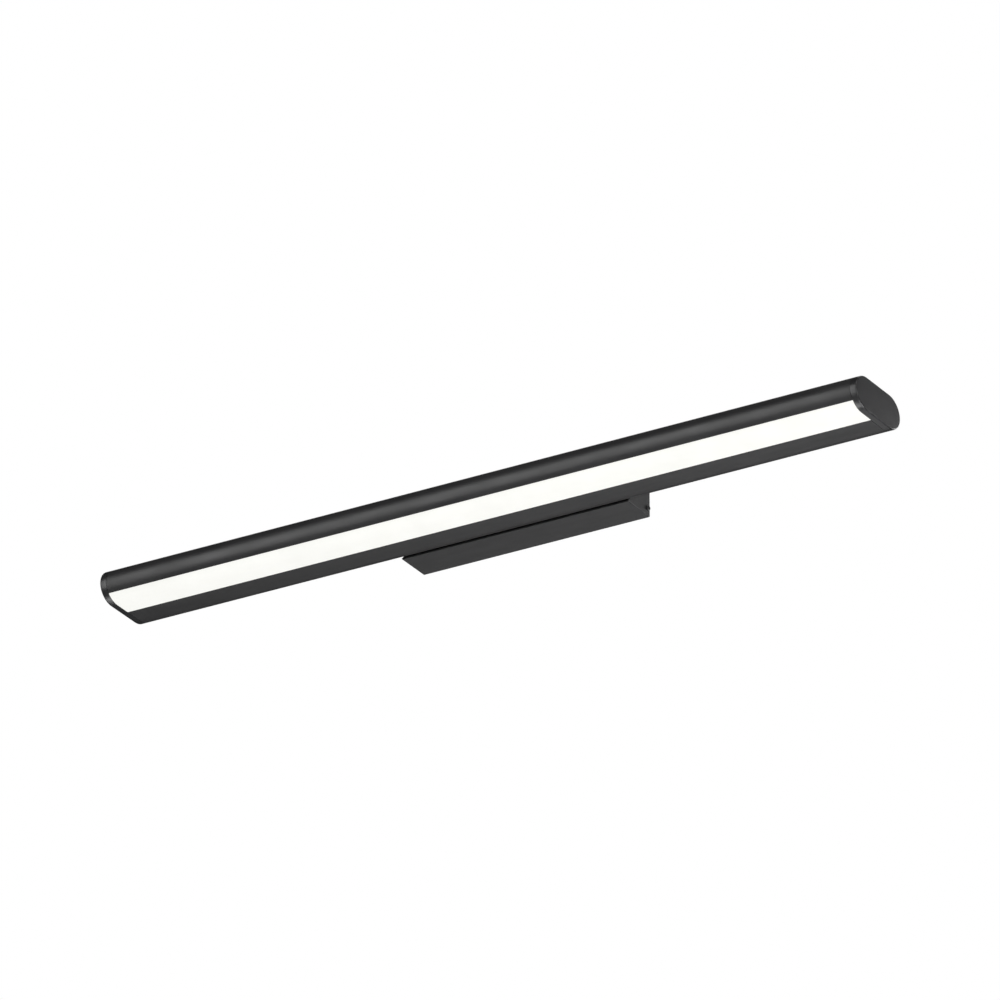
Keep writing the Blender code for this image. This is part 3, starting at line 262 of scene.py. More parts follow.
class Surface:
    """A Principled material and the few node patterns that its colour, gloss and relief are made of."""

    def __init__(self, name, **sockets):
        self.material = bpy.data.materials.new(name)
        self.material.use_nodes = True
        self.tree = self.material.node_tree
        self.shader = self.tree.nodes["Principled BSDF"]
        self.place = self.node("ShaderNodeTexCoord").outputs["Object"]
        for socket, value in sockets.items():
            self.shader.inputs[socket.replace("_", " ")].default_value = value

    def node(self, kind, inputs=None, **settings):
        made = self.tree.nodes.new(kind)
        for name, value in settings.items():
            setattr(made, name, value)
        for name, value in (inputs or {}).items():
            if isinstance(value, bpy.types.NodeSocket):
                self.tree.links.new(value, made.inputs[name])
            else:
                made.inputs[name].default_value = value
        return made

    def spread(self, stretch):
        """Object coordinates, drawn out along the axes where stretch is under 1."""
        if stretch == (1, 1, 1):
            return self.place
        return self.node("ShaderNodeMapping", {"Vector": self.place, "Scale": stretch}).outputs[0]

    def noise(self, grain, detail=3.0, stretch=(1, 1, 1), distortion=0.0):
        """Clouds whose features are about grain across."""
        inputs = {
            "Vector": self.spread(stretch),
            "Scale": 1 / grain,
            "Detail": detail,
            "Distortion": distortion,
        }
        return self.node("ShaderNodeTexNoise", inputs).outputs["Fac"]

    def cells(self, grain, feature="F1", stretch=(1, 1, 1)):
        inputs = {"Vector": self.spread(stretch), "Scale": 1 / grain}
        return self.node("ShaderNodeTexVoronoi", inputs, feature=feature).outputs["Distance"]

    def waves(self, grain, direction, distortion=0.0):
        inputs = {"Vector": self.place, "Scale": 1 / grain, "Distortion": distortion}
        return self.node("ShaderNodeTexWave", inputs, bands_direction=direction).outputs["Fac"]

    def remap(self, value, low, high, from_low=0.0, from_high=1.0):
        inputs = {
            "Value": value,
            "From Min": from_low,
            "From Max": from_high,
            "To Min": low,
            "To Max": high,
        }
        return self.node("ShaderNodeMapRange", inputs).outputs["Result"]

    def add(self, first, second, share=1.0):
        """first plus share times second."""
        inputs = {0: second, 1: share, 2: first}
        return self.node("ShaderNodeMath", inputs, operation="MULTIPLY_ADD").outputs[0]

    def ramp(self, value, *stops):
        """A colour for each value, from (value, colour) stops in rising order."""
        made = self.node("ShaderNodeValToRGB", {"Fac": value})
        for element, (position, colour) in zip(made.color_ramp.elements, stops):
            element.position = position
            element.color = (*colour, 1)
        return made.outputs["Color"]

    def blend(self, share, first, second):
        """The first colour where share is 0, and the second where it is 1."""
        inputs = {MIX_SHARE: share}
        for socket, colour in ((MIX_FIRST, first), (MIX_SECOND, second)):
            inputs[socket] = colour if isinstance(colour, bpy.types.NodeSocket) else (*colour, 1)
        return self.node("ShaderNodeMix", inputs, data_type="RGBA").outputs[MIX_RESULT]

    def edges(self, radius, low=0.02, high=0.25):
        """Rises from 0 on flat skin towards 1 on edges that are sharper than the radius."""
        bevel = self.node("ShaderNodeBevel", {"Radius": radius}, samples=EDGE_SAMPLES)
        normal = self.node("ShaderNodeNewGeometry").outputs["Normal"]
        inputs = {0: bevel.outputs["Normal"], 1: normal}
        same = self.node("ShaderNodeVectorMath", inputs, operation="DOT_PRODUCT").outputs["Value"]
        return self.remap(same, 1.0, 0.0, 1 - high, 1 - low)

    def colour(self, value):
        self.tree.links.new(value, self.shader.inputs["Base Color"])

    def glow(self, value):
        self.tree.links.new(value, self.shader.inputs["Emission Color"])

    def roughness(self, value, low, high, from_low=CLOUD_LOW, from_high=CLOUD_HIGH):
        rough = self.remap(value, low, high, from_low, from_high)
        self.tree.links.new(rough, self.shader.inputs["Roughness"])

    def relief(self, *layers):
        """Bumps on top of each other: (height value, depth in metres, strength)."""
        normal = None
        for height, depth, strength in layers:
            inputs = {"Height": height, "Distance": depth, "Strength": strength}
            if normal:
                inputs["Normal"] = normal
            normal = self.node("ShaderNodeBump", inputs).outputs["Normal"]
        self.tree.links.new(normal, self.shader.inputs["Normal"])


COAT_DARK = (0.0165, 0.0165, 0.0172)
COAT_LIGHT = (0.0225, 0.0225, 0.0232)
COAT_WORN = (0.055, 0.055, 0.056)
COAT_CLOUD = 18 * MM
COAT_GRAIN = 0.45 * MM
COAT_GRAIN_DEPTH = 0.006 * MM
COAT_PEEL_DEPTH = 0.012 * MM
COAT_EDGE = 0.35 * MM
COAT_PATCH = 6 * MM
COAT_SMEAR = 9 * MM
EXTRUSION_LINE = 0.8 * MM
EXTRUSION_STRETCH = (0.004, 1, 1)
EXTRUSION_DEPTH = 0.004 * MM


def coat(name, peel, rough, extrusion=False):
    """Black powder coat: cured grain, orange peel of the given size, and thin places along the edges."""
    skin = Surface(name)
    broad = skin.noise(COAT_CLOUD, 4.0)
    grain = skin.noise(COAT_GRAIN, 2.0)
    colour = skin.ramp(skin.add(broad, grain, 0.35), (0.35, COAT_DARK), (1.0, COAT_LIGHT))
    worn = skin.edges(COAT_EDGE)
    patchy = skin.remap(skin.noise(COAT_PATCH, 5.0), 0.0, 0.55, 0.42, 0.7)
    share = skin.node("ShaderNodeMath", {0: worn, 1: patchy}, operation="MULTIPLY").outputs[0]
    skin.colour(skin.blend(share, colour, COAT_WORN))
    smears = skin.noise(COAT_SMEAR, stretch=(0.25, 1, 1))
    skin.roughness(smears, rough - 0.05, rough + 0.06)
    layers = [(skin.noise(peel, 1.0), COAT_PEEL_DEPTH, 0.35), (grain, COAT_GRAIN_DEPTH, 0.5)]
    if extrusion:
        lines = skin.noise(EXTRUSION_LINE, 2.0, EXTRUSION_STRETCH)
        layers.append((lines, EXTRUSION_DEPTH, 0.4))
    skin.relief(*layers)
    return skin.material


MOULDED_BLACK = ((0.016, 0.016, 0.017), (0.024, 0.024, 0.025))
MOULDED_WHITE = ((0.68, 0.67, 0.63), (0.8, 0.79, 0.75))
MOULDED_WORN = (0.05, 0.05, 0.05)
MOULD_FLOW = 11 * MM
MOULD_GRAIN = 0.3 * MM
MOULD_SINK = 2.5 * MM
MOULD_DEPTH = 0.01 * MM
TOUCHED_EDGE = 0.3 * MM


def moulding(name, colours, rough, grain=MOULD_GRAIN, worn=None):
    """Moulded plastic: a spark-eroded grain and slow flow marks."""
    skin = Surface(name)
    dark, light = colours
    flow = skin.noise(MOULD_FLOW, stretch=(0.4, 1, 1), distortion=0.6)
    texture = skin.cells(grain)
    colour = skin.ramp(skin.add(flow, texture, 0.2), (0.35, dark), (0.85, light))
    if worn:
        colour = skin.blend(skin.edges(TOUCHED_EDGE, 0.05, 0.4), colour, worn)
    skin.colour(colour)
    skin.roughness(flow, rough - 0.05, rough + 0.05)
    skin.relief((texture, MOULD_DEPTH, 0.35), (skin.noise(MOULD_SINK, 1.0), MOULD_DEPTH, 0.2))
    return skin.material


OPAL_GLOW = 0.81
OPAL_SKIN = ((0.14, 0.14, 0.133), (0.17, 0.17, 0.161))
OPAL_LIGHT = ((0.985, 0.985, 0.945), (1.0, 1.0, 0.965))
OPAL_MOTTLE = 24 * MM
OPAL_SHEEN = 5 * MM
OPAL_GRAIN = 0.6 * MM
OPAL_DEPTH = 0.004 * MM


def opal():
    """The lit diffuser: almost even, with the faint mottling of opal acrylic."""
    skin = Surface("opal_lit", Emission_Strength=OPAL_GLOW, Specular_IOR_Level=0.2)
    mottle = skin.noise(OPAL_MOTTLE)
    skin.colour(skin.ramp(mottle, *zip((CLOUD_LOW, CLOUD_HIGH), OPAL_SKIN)))
    skin.glow(skin.ramp(mottle, *zip((CLOUD_LOW, CLOUD_HIGH), OPAL_LIGHT)))
    skin.roughness(skin.noise(OPAL_SHEEN), 0.5, 0.64, 0.0, 1.0)
    skin.relief((skin.noise(OPAL_GRAIN, 2.0), OPAL_DEPTH, 0.3))
    return skin.material


ROLLED = (0.06, 1, 1)
TURNED = (1, 0.06, 1)
METAL_STAIN = 7 * MM
METAL_LINE = 0.7 * MM
METAL_LINE_DEPTH = 0.006 * MM
METAL_STAIN_DEPTH = 0.01 * MM
ZINC_SPANGLE = 5 * MM


def metal(name, dark, light, rough, lay=ROLLED, crystal=None, metallic=1.0):
    """Bare or plated metal: lines along its lay, stains and, where crystal is given, its spangle."""
    skin = Surface(name, Metallic=metallic)
    stains = skin.noise(METAL_STAIN, 5.0, distortion=0.8)
    lines = skin.noise(METAL_LINE, stretch=lay)
    tone = skin.add(stains, lines, 0.3)
    if crystal:
        tone = skin.add(tone, skin.cells(crystal), 0.25)
    colour = skin.ramp(tone, (0.4, dark), (0.95, light))
    skin.colour(skin.blend(skin.edges(TOUCHED_EDGE, 0.05, 0.4), colour, light))
    skin.roughness(tone, rough - 0.08, rough + 0.12, 0.4, 0.95)
    skin.relief((lines, METAL_LINE_DEPTH, 0.4), (stains, METAL_STAIN_DEPTH, 0.1))
    return skin.material


RUBBER_DARK = (0.012, 0.012, 0.012)
RUBBER_LIGHT = (0.032, 0.031, 0.03)
RUBBER_BLOOM = 3 * MM
RUBBER_GRAIN = 0.25 * MM
RUBBER_DEPTH = 0.012 * MM


def rubber():
    """Rubber with a slight bloom on it."""
    skin = Surface("rubber_skin")
    bloom = skin.noise(RUBBER_BLOOM, 4.0)
    skin.colour(skin.ramp(bloom, (0.3, RUBBER_DARK), (0.75, RUBBER_LIGHT)))
    skin.roughness(bloom, 0.7, 0.92)
    skin.relief((skin.noise(RUBBER_GRAIN, 2.0), RUBBER_DEPTH, 0.5))
    return skin.material


MASK_CLOUD = 5 * MM
MASK_GRAIN = 0.4 * MM
MASK_DEPTH = 0.005 * MM
TRACK_DEPTH = 0.03 * MM


def board(name, mask, mask_light, trace, pitch):
    """Printed board: solder mask over slightly raised copper tracks."""
    skin = Surface(name)
    tracks = skin.cells(pitch, "DISTANCE_TO_EDGE", (0.5, 1, 1))
    raised = skin.remap(tracks, 1.0, 0.0, 0.05, 0.12)
    cloud = skin.noise(MASK_CLOUD)
    flat = skin.ramp(cloud, (CLOUD_LOW, mask), (CLOUD_HIGH, mask_light))
    skin.colour(skin.blend(raised, flat, trace))
    skin.roughness(cloud, 0.28, 0.45)
    skin.relief((raised, TRACK_DEPTH, 0.6), (skin.noise(MASK_GRAIN), MASK_DEPTH, 0.3))
    return skin.material


TAPE_DARK = (0.36, 0.36, 0.37)
TAPE_LIGHT = (0.55, 0.55, 0.56)
TAPE_THREAD = 1.2 * MM
TAPE_CLOUD = 2 * MM
TAPE_DEPTH = 0.03 * MM


def tape():
    """Grey woven tape."""
    skin = Surface("tape_weave")
    warp = skin.waves(TAPE_THREAD, "X", 0.5)
    weft = skin.waves(TAPE_THREAD, "Y", 0.5)
    weave = skin.add(warp, weft)
    skin.colour(skin.ramp(weave, (0.2, TAPE_DARK), (1.0, TAPE_LIGHT)))
    skin.roughness(skin.noise(TAPE_CLOUD), 0.7, 0.9, 0.0, 1.0)
    skin.relief((weave, TAPE_DEPTH, 0.5))
    return skin.material


FERRITE_DARK = (0.035, 0.03, 0.03)
FERRITE_LIGHT = (0.1, 0.085, 0.08)
FERRITE_GRIT = 0.6 * MM
FERRITE_CLOUD = 3 * MM
FERRITE_DEPTH = 0.03 * MM


def ferrite():
    """A transformer's dark, gritty core."""
    skin = Surface("ferrite_block")
    grit = skin.cells(FERRITE_GRIT)
    cloud = skin.noise(FERRITE_CLOUD, 4.0)
    tone = skin.add(cloud, grit, 0.4)
    skin.colour(skin.ramp(tone, (0.4, FERRITE_DARK), (1.0, FERRITE_LIGHT)))
    skin.roughness(cloud, 0.5, 0.75)
    skin.relief((grit, FERRITE_DEPTH, 0.5))
    return skin.material


WIRE_DUST = 4 * MM
WIRE_STRIPE = 9 * MM
WIRE_LINE = 0.5 * MM
WIRE_DEPTH = 0.008 * MM


def insulation(name, colour, stripe=None):
    """PVC on a wire: slightly glossy, with drawing lines and dust, and a stripe where it has one."""
    skin = Surface(name)
    dust = skin.noise(WIRE_DUST, 4.0)
    dusty = tuple(0.8 * c + 0.04 for c in colour)
    base = skin.ramp(dust, (0.35, colour), (0.8, dusty))
    if stripe:
        bands = skin.remap(skin.waves(WIRE_STRIPE, "DIAGONAL"), 0.0, 1.0, 0.62, 0.66)
        base = skin.blend(bands, base, stripe)
    skin.colour(base)
    skin.roughness(dust, 0.35, 0.6)
    skin.relief((skin.noise(WIRE_LINE, 2.0, (0.2, 1, 1)), WIRE_DEPTH, 0.4))
    return skin.material


GREEN, YELLOW = (0.04, 0.3, 0.05), (0.75, 0.6, 0.03)


def make_materials():
    """A material for each of the record's slots."""
    return {
        "bar_coat": coat("bar_powder_coat", 1.6 * MM, 0.46, extrusion=True),
        "box_coat": coat("box_powder_coat", 2.2 * MM, 0.48),
        "cap_coat": moulding("cap_moulding", MOULDED_BLACK, 0.34, worn=MOULDED_WORN),
        "opal": opal(),
        "black_plastic": moulding("black_nylon", MOULDED_BLACK, 0.5, 0.4 * MM),
        "white_plastic": moulding("white_polyamide", MOULDED_WHITE, 0.45),
        "rubber": rubber(),
        "zinc_steel": metal(
            "zinc_plated_steel",
            (0.46, 0.47, 0.48),
            (0.6, 0.61, 0.62),
            0.38,
            crystal=ZINC_SPANGLE,
            metallic=0.65,
        ),
        "black_steel": coat("blackened_steel", 0.8 * MM, 0.5),
        "brass": metal("turned_brass", (0.6, 0.42, 0.15), (0.82, 0.62, 0.26), 0.3, TURNED),
        "board_white": board(
            "white_solder_mask", (0.78, 0.79, 0.77), (0.86, 0.87, 0.85), (0.66, 0.67, 0.63), 6 * MM
        ),
        "board_green": board(
            "green_solder_mask", (0.012, 0.13, 0.045), (0.02, 0.2, 0.07), (0.05, 0.3, 0.11), 4 * MM
        ),
        "tape_grey": tape(),
        "ferrite": ferrite(),
        "wire_brown": insulation("insulation_brown", (0.16, 0.06, 0.022)),
        "wire_blue": insulation("insulation_blue", (0.015, 0.08, 0.42)),
        "wire_green_yellow": insulation("insulation_green_yellow", GREEN, YELLOW),
        "wire_red": insulation("insulation_red", (0.5, 0.02, 0.015)),
        "wire_black": insulation("insulation_black", (0.018, 0.018, 0.018)),
    }


# ---------------------------------------------------------------- shape helpers


def arc(middle, radius, start, end, steps):
    """Points round a circle, from one angle in degrees to another."""
    turns = [math.radians(start + (end - start) * step / steps) for step in range(steps + 1)]
    return [(middle[0] + radius * math.cos(a), middle[1] + radius * math.sin(a)) for a in turns]


def rounded_rectangle(middle, width, height, radius, steps=CORNER_STEPS):
    points = []
    for quarter, (right, up) in enumerate(((1, 1), (-1, 1), (-1, -1), (1, -1))):
        corner = (
            middle[0] + right * (width / 2 - radius),
            middle[1] + up * (height / 2 - radius),
        )
        points += arc(corner, radius, 90 * quarter, 90 * quarter + 90, steps)
    return points


def filleted(points, radius):
    """The closed outline with each real corner rounded, and its smooth curves left as they are."""
    made = []
    count = len(points)
    for number, point in enumerate(points):
        here = Vector(point)
        before = Vector(points[number - 1]) - here
        after = Vector(points[(number + 1) % count]) - here
        turn = math.pi - before.angle(after)
        if turn < SHARP:
            made.append(tuple(here))
            continue
        most = MOST_OF_AN_EDGE * min(before.length, after.length)
        reach = min(radius * math.tan(turn / 2), most)
        start, end = here + before.normalized() * reach, here + after.normalized() * reach
        for step in range(FILLET_STEPS + 1):
            t = step / FILLET_STEPS
            made.append(tuple(start * (1 - t) ** 2 + here * 2 * t * (1 - t) + end * t * t))
    return made


def mesh_object(name, shape, finish=None):
    """Turns a bmesh into an object, and frees it. Without a finish it is a cutter."""
    bmesh.ops.remove_doubles(shape, verts=shape.verts, dist=WELD)
    bmesh.ops.recalc_face_normals(shape, faces=shape.faces)
    mesh = bpy.data.meshes.new(name)
    shape.to_mesh(mesh)
    shape.free()
    mesh.shade_smooth()
    mesh.set_sharp_from_angle(angle=SHARP)
    if finish:
        mesh.materials.append(MATERIALS[finish])
    obj = bpy.data.objects.new(name, mesh)
    SCENE.collection.objects.link(obj)
    return obj


def extruded(name, loops, axis, start, end, finish=None):
    """Closed outlines, the first with the others as holes. Points are (Y, Z) for X, and (X, Z) for Y."""
    curve = bpy.data.curves.new(name, "CURVE")
    curve.dimensions = "2D"
    curve.fill_mode = "BOTH"
    curve.extrude = (end - start) / 2
    for loop in loops:
        spline = curve.splines.new("POLY")
        spline.points.add(len(loop) - 1)
        for point, (across, up) in zip(spline.points, loop):
            point.co = (across, up, 0, 1)
        spline.use_cyclic_u = True
    source = bpy.data.objects.new(name, curve)
    SCENE.collection.objects.link(source)
    middle = (start + end) / 2
    source.location = (middle, 0, 0) if axis == "X" else (0, middle, 0)
    source.rotation_euler = (math.pi / 2, 0, math.pi / 2 if axis == "X" else 0)
    bpy.context.view_layer.update()
    mesh = bpy.data.meshes.new_from_object(source.evaluated_get(bpy.context.evaluated_depsgraph_get()))
    mesh.transform(source.matrix_world)
    bpy.data.objects.remove(source, do_unlink=True)
    bpy.data.curves.remove(curve)
    shape = bmesh.new()
    shape.from_mesh(mesh)
    bpy.data.meshes.remove(mesh)
    return mesh_object(name, shape, finish)


def box(name, low, high):
    shape = bmesh.new()
    bmesh.ops.create_cube(shape, size=1)
    low, high = Vector(low), Vector(high)
    for vert in shape.verts:
        vert.co = [a + (b - a) * (c + 0.5) for a, b, c in zip(low, high, vert.co)]
    return mesh_object(name, shape)


def turned(name, profile, place, direction, finish=None, segments=TURNED_STEPS):
    """A turned shape: a closed (radius, height) profile round an axis through place."""
    turn = Vector(direction).to_track_quat("Z", "Y").to_matrix()
    shape = bmesh.new()
    rings = []
    for step in range(segments):
        a = 2 * math.pi * step / segments
        ring = [Vector((r * math.cos(a), r * math.sin(a), h)) for r, h in profile]
        rings.append([shape.verts.new(Vector(place) + turn @ point) for point in ring])
    count = len(profile)
    for first, second in zip(rings, rings[1:] + rings[:1]):
        for number in range(count):
            following = (number + 1) % count
            if profile[number][0] or profile[following][0]:
                shape.faces.new(
                    (first[number], second[number], second[following], first[following])
                )
    bmesh.ops.remove_doubles(shape, verts=shape.verts, dist=WELD)
    bmesh.ops.dissolve_degenerate(shape, edges=shape.edges, dist=WELD)
    return mesh_object(name, shape, finish)


def rod(name, start, end, radius, segments=TURNED_STEPS):
    """A round cutter between two points."""
    start, end = Vector(start), Vector(end)
    length = (end - start).length
    profile = [(0, 0), (radius, 0), (radius, length), (0, length)]
    return turned(name, profile, start, end - start, None, segments)


def combine(obj, operation, *others):
    """Cuts the others out of the piece, or joins them to it, for good."""
    for other in others:
        modifier = obj.modifiers.new("Combine", "BOOLEAN")
        modifier.operation = operation
        modifier.object = other
        modifier.solver = "EXACT"
    bake(obj)
    for other in others:
        mesh = other.data
        bpy.data.objects.remove(other, do_unlink=True)
        bpy.data.meshes.remove(mesh)


def bake(obj):
    """Applies the piece's modifiers, and smooths what they leave."""
    bpy.context.view_layer.update()
    graph = bpy.context.evaluated_depsgraph_get()
    mesh = bpy.data.meshes.new_from_object(obj.evaluated_get(graph))
    obj.modifiers.clear()
    shape = bmesh.new()
    shape.from_mesh(mesh)
    bmesh.ops.remove_doubles(shape, verts=shape.verts, dist=WELD)
    bmesh.ops.dissolve_degenerate(shape, edges=shape.edges, dist=WELD)
    shape.to_mesh(mesh)
    shape.free()
    mesh.shade_smooth()
    mesh.set_sharp_from_angle(angle=SHARP)
    old = obj.data
    mesh.name = old.name
    obj.data = mesh
    bpy.data.meshes.remove(old)


def soften(obj, width):
    """Rounds the piece's sharp edges, and keeps its flat faces flat to the eye."""
    shape = bmesh.new()
    shape.from_mesh(obj.data)
    bmesh.ops.dissolve_limit(shape, angle_limit=LEVEL, verts=shape.verts, edges=shape.edges)
    shape.to_mesh(obj.data)
    shape.free()
    modifier = obj.modifiers.new("Soften", "BEVEL")
    modifier.width = width
    modifier.segments = 2
    modifier.limit_method = "ANGLE"
    modifier.angle_limit = SHARP
    bake(obj)
    normals = obj.modifiers.new("Normals", "WEIGHTED_NORMAL")
    normals.keep_sharp = True


def stand_in(obj, node):
    """The piece takes a CAD node's place."""
    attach(obj, "root")
    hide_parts(node)


# ---------------------------------------------------------------- bar section


def nose(side, inset, start, end, steps=NOSE_STEPS):
    """Points on the bar's front (-1) or back (1) nose, moved in by inset."""
    points = []
    for step in range(steps + 1):
        a = math.radians(start + (end - start) * step / steps)
        out = Vector((side * HALF_HEIGHT * math.cos(a), NOSE_REACH * math.sin(a))).normalized()
        y = BAR_MIDDLE.y + side * (BAR_FLAT / 2 + NOSE_REACH * math.cos(a)) - inset * out.x
        points.append((y, HALF_HEIGHT * math.sin(a) - inset * out.y))
    return points


HALVINGS = 40


def nose_angle(inset, height):
    """The angle at which a nose that is moved in by inset is at this height."""
    low, high = -90.0, 90.0
    for _ in range(HALVINGS):
        middle = (low + high) / 2
        if nose(1, inset, middle, middle, 1)[0][1] < height:
            low = middle
        else:
            high = middle
    return low


def degrees_along(distance, angle):
    """How many degrees a short distance takes up along a nose's skin."""
    a = math.radians(angle)
    return math.degrees(distance / math.hypot(NOSE_REACH * math.sin(a), HALF_HEIGHT * math.cos(a)))


def bar_outline(inset):
    """The bar's section, moved in by inset."""
    return nose(-1, inset, -90, 90) + nose(1, inset, 90, -90)


def wiring_chamber(clearance=0.0):
    """The L-shaped chamber over the web and behind the rib, moved in by a clearance."""
    inset = BAR_WALL + clearance
    floor = WEB_TOP + clearance
    rib_back = BAR_MIDDLE.y + RIB_BEHIND_MIDDLE + RIB_THICKNESS + clearance
    points = nose(-1, inset, nose_angle(inset, floor), 90, CHAMBER_STEPS)
    points += nose(1, inset, 90, -90)
    return points + [(rib_back, inset - HALF_HEIGHT), (rib_back, floor)]


def light_chamber():
    """The housing's inner path, from the diffuser's rear edge round to its top edge."""
    bottom = -HALF_HEIGHT
    rear = BAR_MIDDLE.y + DIFFUSER_REAR
    rib = BAR_MIDDLE.y + RIB_BEHIND_MIDDLE
    ledge_inside = LEDGE_TOP + LEDGE_THICKNESS
    groove_end = DIFFUSER_TOP_ANGLE + degrees_along(TONGUE_REACH + FIT, DIFFUSER_TOP_ANGLE)
    ledge_root = groove_end + degrees_along(LEDGE_THICKNESS, groove_end)
    lip = DIFFUSER_TOP_ANGLE + degrees_along(FIT / 2, DIFFUSER_TOP_ANGLE)
    points = [
        (rear + FIT / 2, bottom),
        (rear + FIT / 2, bottom + LIP_THICKNESS),
        (rib, bottom + LIP_THICKNESS),
        (rib, bottom + LEDGE_TOP),
        (rear, bottom + LEDGE_TOP),
        (rear, bottom + ledge_inside),
        (rib, bottom + ledge_inside),
        (rib, WEB_UNDERSIDE),
    ]
    web_end = nose_angle(BAR_WALL, WEB_UNDERSIDE)
    points += nose(-1, BAR_WALL, web_end, ledge_root, LIGHT_WALL_STEPS)
    points += nose(-1, ledge_inside, ledge_root, DIFFUSER_TOP_ANGLE, GROOVE_STEPS)
    points += nose(-1, LEDGE_TOP, DIFFUSER_TOP_ANGLE, groove_end, GROOVE_STEPS)
    return points + nose(-1, LIP_THICKNESS, groove_end, lip, GROOVE_STEPS)


def make_housing():
    """The extrusion, with its holes for screws and leads."""
    lip = DIFFUSER_TOP_ANGLE + degrees_along(FIT / 2, DIFFUSER_TOP_ANGLE)
    profile = nose(-1, 0, lip, 90) + nose(1, 0, 90, -90) + light_chamber()
    loops = [filleted(profile, SECTION_FILLET), filleted(wiring_chamber(), CHAMBER_FILLET)]
    housing = extruded("bar_shell", loops, "X", BAR_LOW.x, BAR_HIGH.x, "bar_coat")
    back = BAR_HIGH.y
    cutters = []
    for x, radius in (
        (centre("bar_screw_left").x, BAR_HOLE_RADIUS),
        (centre("bar_screw_right").x, BAR_HOLE_RADIUS),
        (centre("lead_grommet").x, LEAD_HOLE_RADIUS),
    ):
        start, end = (x, back - BAR_WALL - 2 * OVER, 0), (x, back + OVER, 0)
        cutters.append(rod("hole", start, end, radius))
    rib = BAR_MIDDLE.y + RIB_BEHIND_MIDDLE
    start = (RIB_HOLE_X, rib - OVER, RIB_HOLE_Z)
    end = (RIB_HOLE_X, rib + RIB_THICKNESS + OVER, RIB_HOLE_Z)
    cutters.append(rod("hole", start, end, RIB_HOLE_RADIUS))
    combine(housing, "DIFFERENCE", *cutters)
    stand_in(housing, "bar_housing")


def make_diffuser():
    """The opal strip, flush with the bar's skin, with a tongue along each edge."""
    bottom = -HALF_HEIGHT
    rear = BAR_MIDDLE.y + DIFFUSER_REAR
    shoulder = DIFFUSER_THICKNESS - TONGUE_THICKNESS
    top = DIFFUSER_TOP_ANGLE - degrees_along(FIT / 2, DIFFUSER_TOP_ANGLE)
    tongue_top = top + degrees_along(TONGUE_REACH, top)
    outside = nose(-1, 0, -90, top, STRIP_STEPS)
    outside += nose(-1, shoulder, top, tongue_top, GROOVE_STEPS)
    inside = nose(-1, DIFFUSER_THICKNESS, tongue_top, -90, STRIP_STEPS)
    tongue_rear = rear - FIT / 2 + TONGUE_REACH
    edge = [
        (tongue_rear, bottom + DIFFUSER_THICKNESS),
        (tongue_rear, bottom + shoulder),
        (rear - FIT / 2, bottom + shoulder),
        (rear - FIT / 2, bottom),
    ]
    low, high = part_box("diffuser")
    profile = filleted(outside + inside + edge, STRIP_FILLET)
    stand_in(extruded("opal_strip", [profile], "X", low.x, high.x, "opal"), "diffuser")


def make_end_cap(side, sign):
    """A cap with a rounded rim, and a hollow spigot that pushes into the wiring chamber."""
    low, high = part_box(f"end_cap_{side}")
    outer = high.x if sign > 0 else low.x
    inner = outer - sign * CAP_THICKNESS
    sections = [(inner, 0.0)]
    for step in range(RIM_STEPS + 1):
        a = math.pi / 2 * step / RIM_STEPS
        x = outer - sign * CAP_ROUNDING * (1 - math.sin(a))
        sections.append((x, CAP_ROUNDING * (1 - math.cos(a))))
    shape = bmesh.new()
    rings = [
        [shape.verts.new((x, y, z)) for y, z in bar_outline(inset)] for x, inset in sections
    ]
    count = len(rings[0])
    for first, second in zip(rings, rings[1:]):
        for number in range(count):
            following = (number + 1) % count
            face = (first[number], first[following], second[following], second[number])
            if (first[number].co - first[following].co).length > WELD:
                shape.faces.new(face)
    bmesh.ops.remove_doubles(shape, verts=shape.verts, dist=WELD)
    for x in (inner, outer):
        rim = [
            edge for edge in shape.edges if edge.is_boundary and abs(edge.verts[0].co.x - x) < WELD
        ]
        bmesh.ops.contextual_create(shape, geom=rim)
    cap = mesh_object(f"cap_{side}", shape, "cap_coat")
    loops = [wiring_chamber(SPIGOT_CLEARANCE), wiring_chamber(SPIGOT_CLEARANCE + SPIGOT_WALL)]
    loops = [filleted(loop, SPIGOT_FILLET) for loop in loops]
    ends = sorted((inner - sign * SPIGOT_LENGTH, inner + sign * OVER))
    spigot = extruded(f"spigot_{side}", loops, "X", *ends)
    combine(cap, "UNION", spigot)
    stand_in(cap, f"end_cap_{side}")


# ---------------------------------------------------------------- wall box


def side_hole(side, sign, end, wall):
    """A cutter for a side screw's hole, through a wall whose outer face is at end."""
    at = centre(f"side_screw_{side}")
    start = (end - sign * (wall + OVER), at.y, at.z)
    return rod("hole", start, (end + sign * OVER, at.y, at.z), SIDE_HOLE_RADIUS, SMALL_HOLE_STEPS)


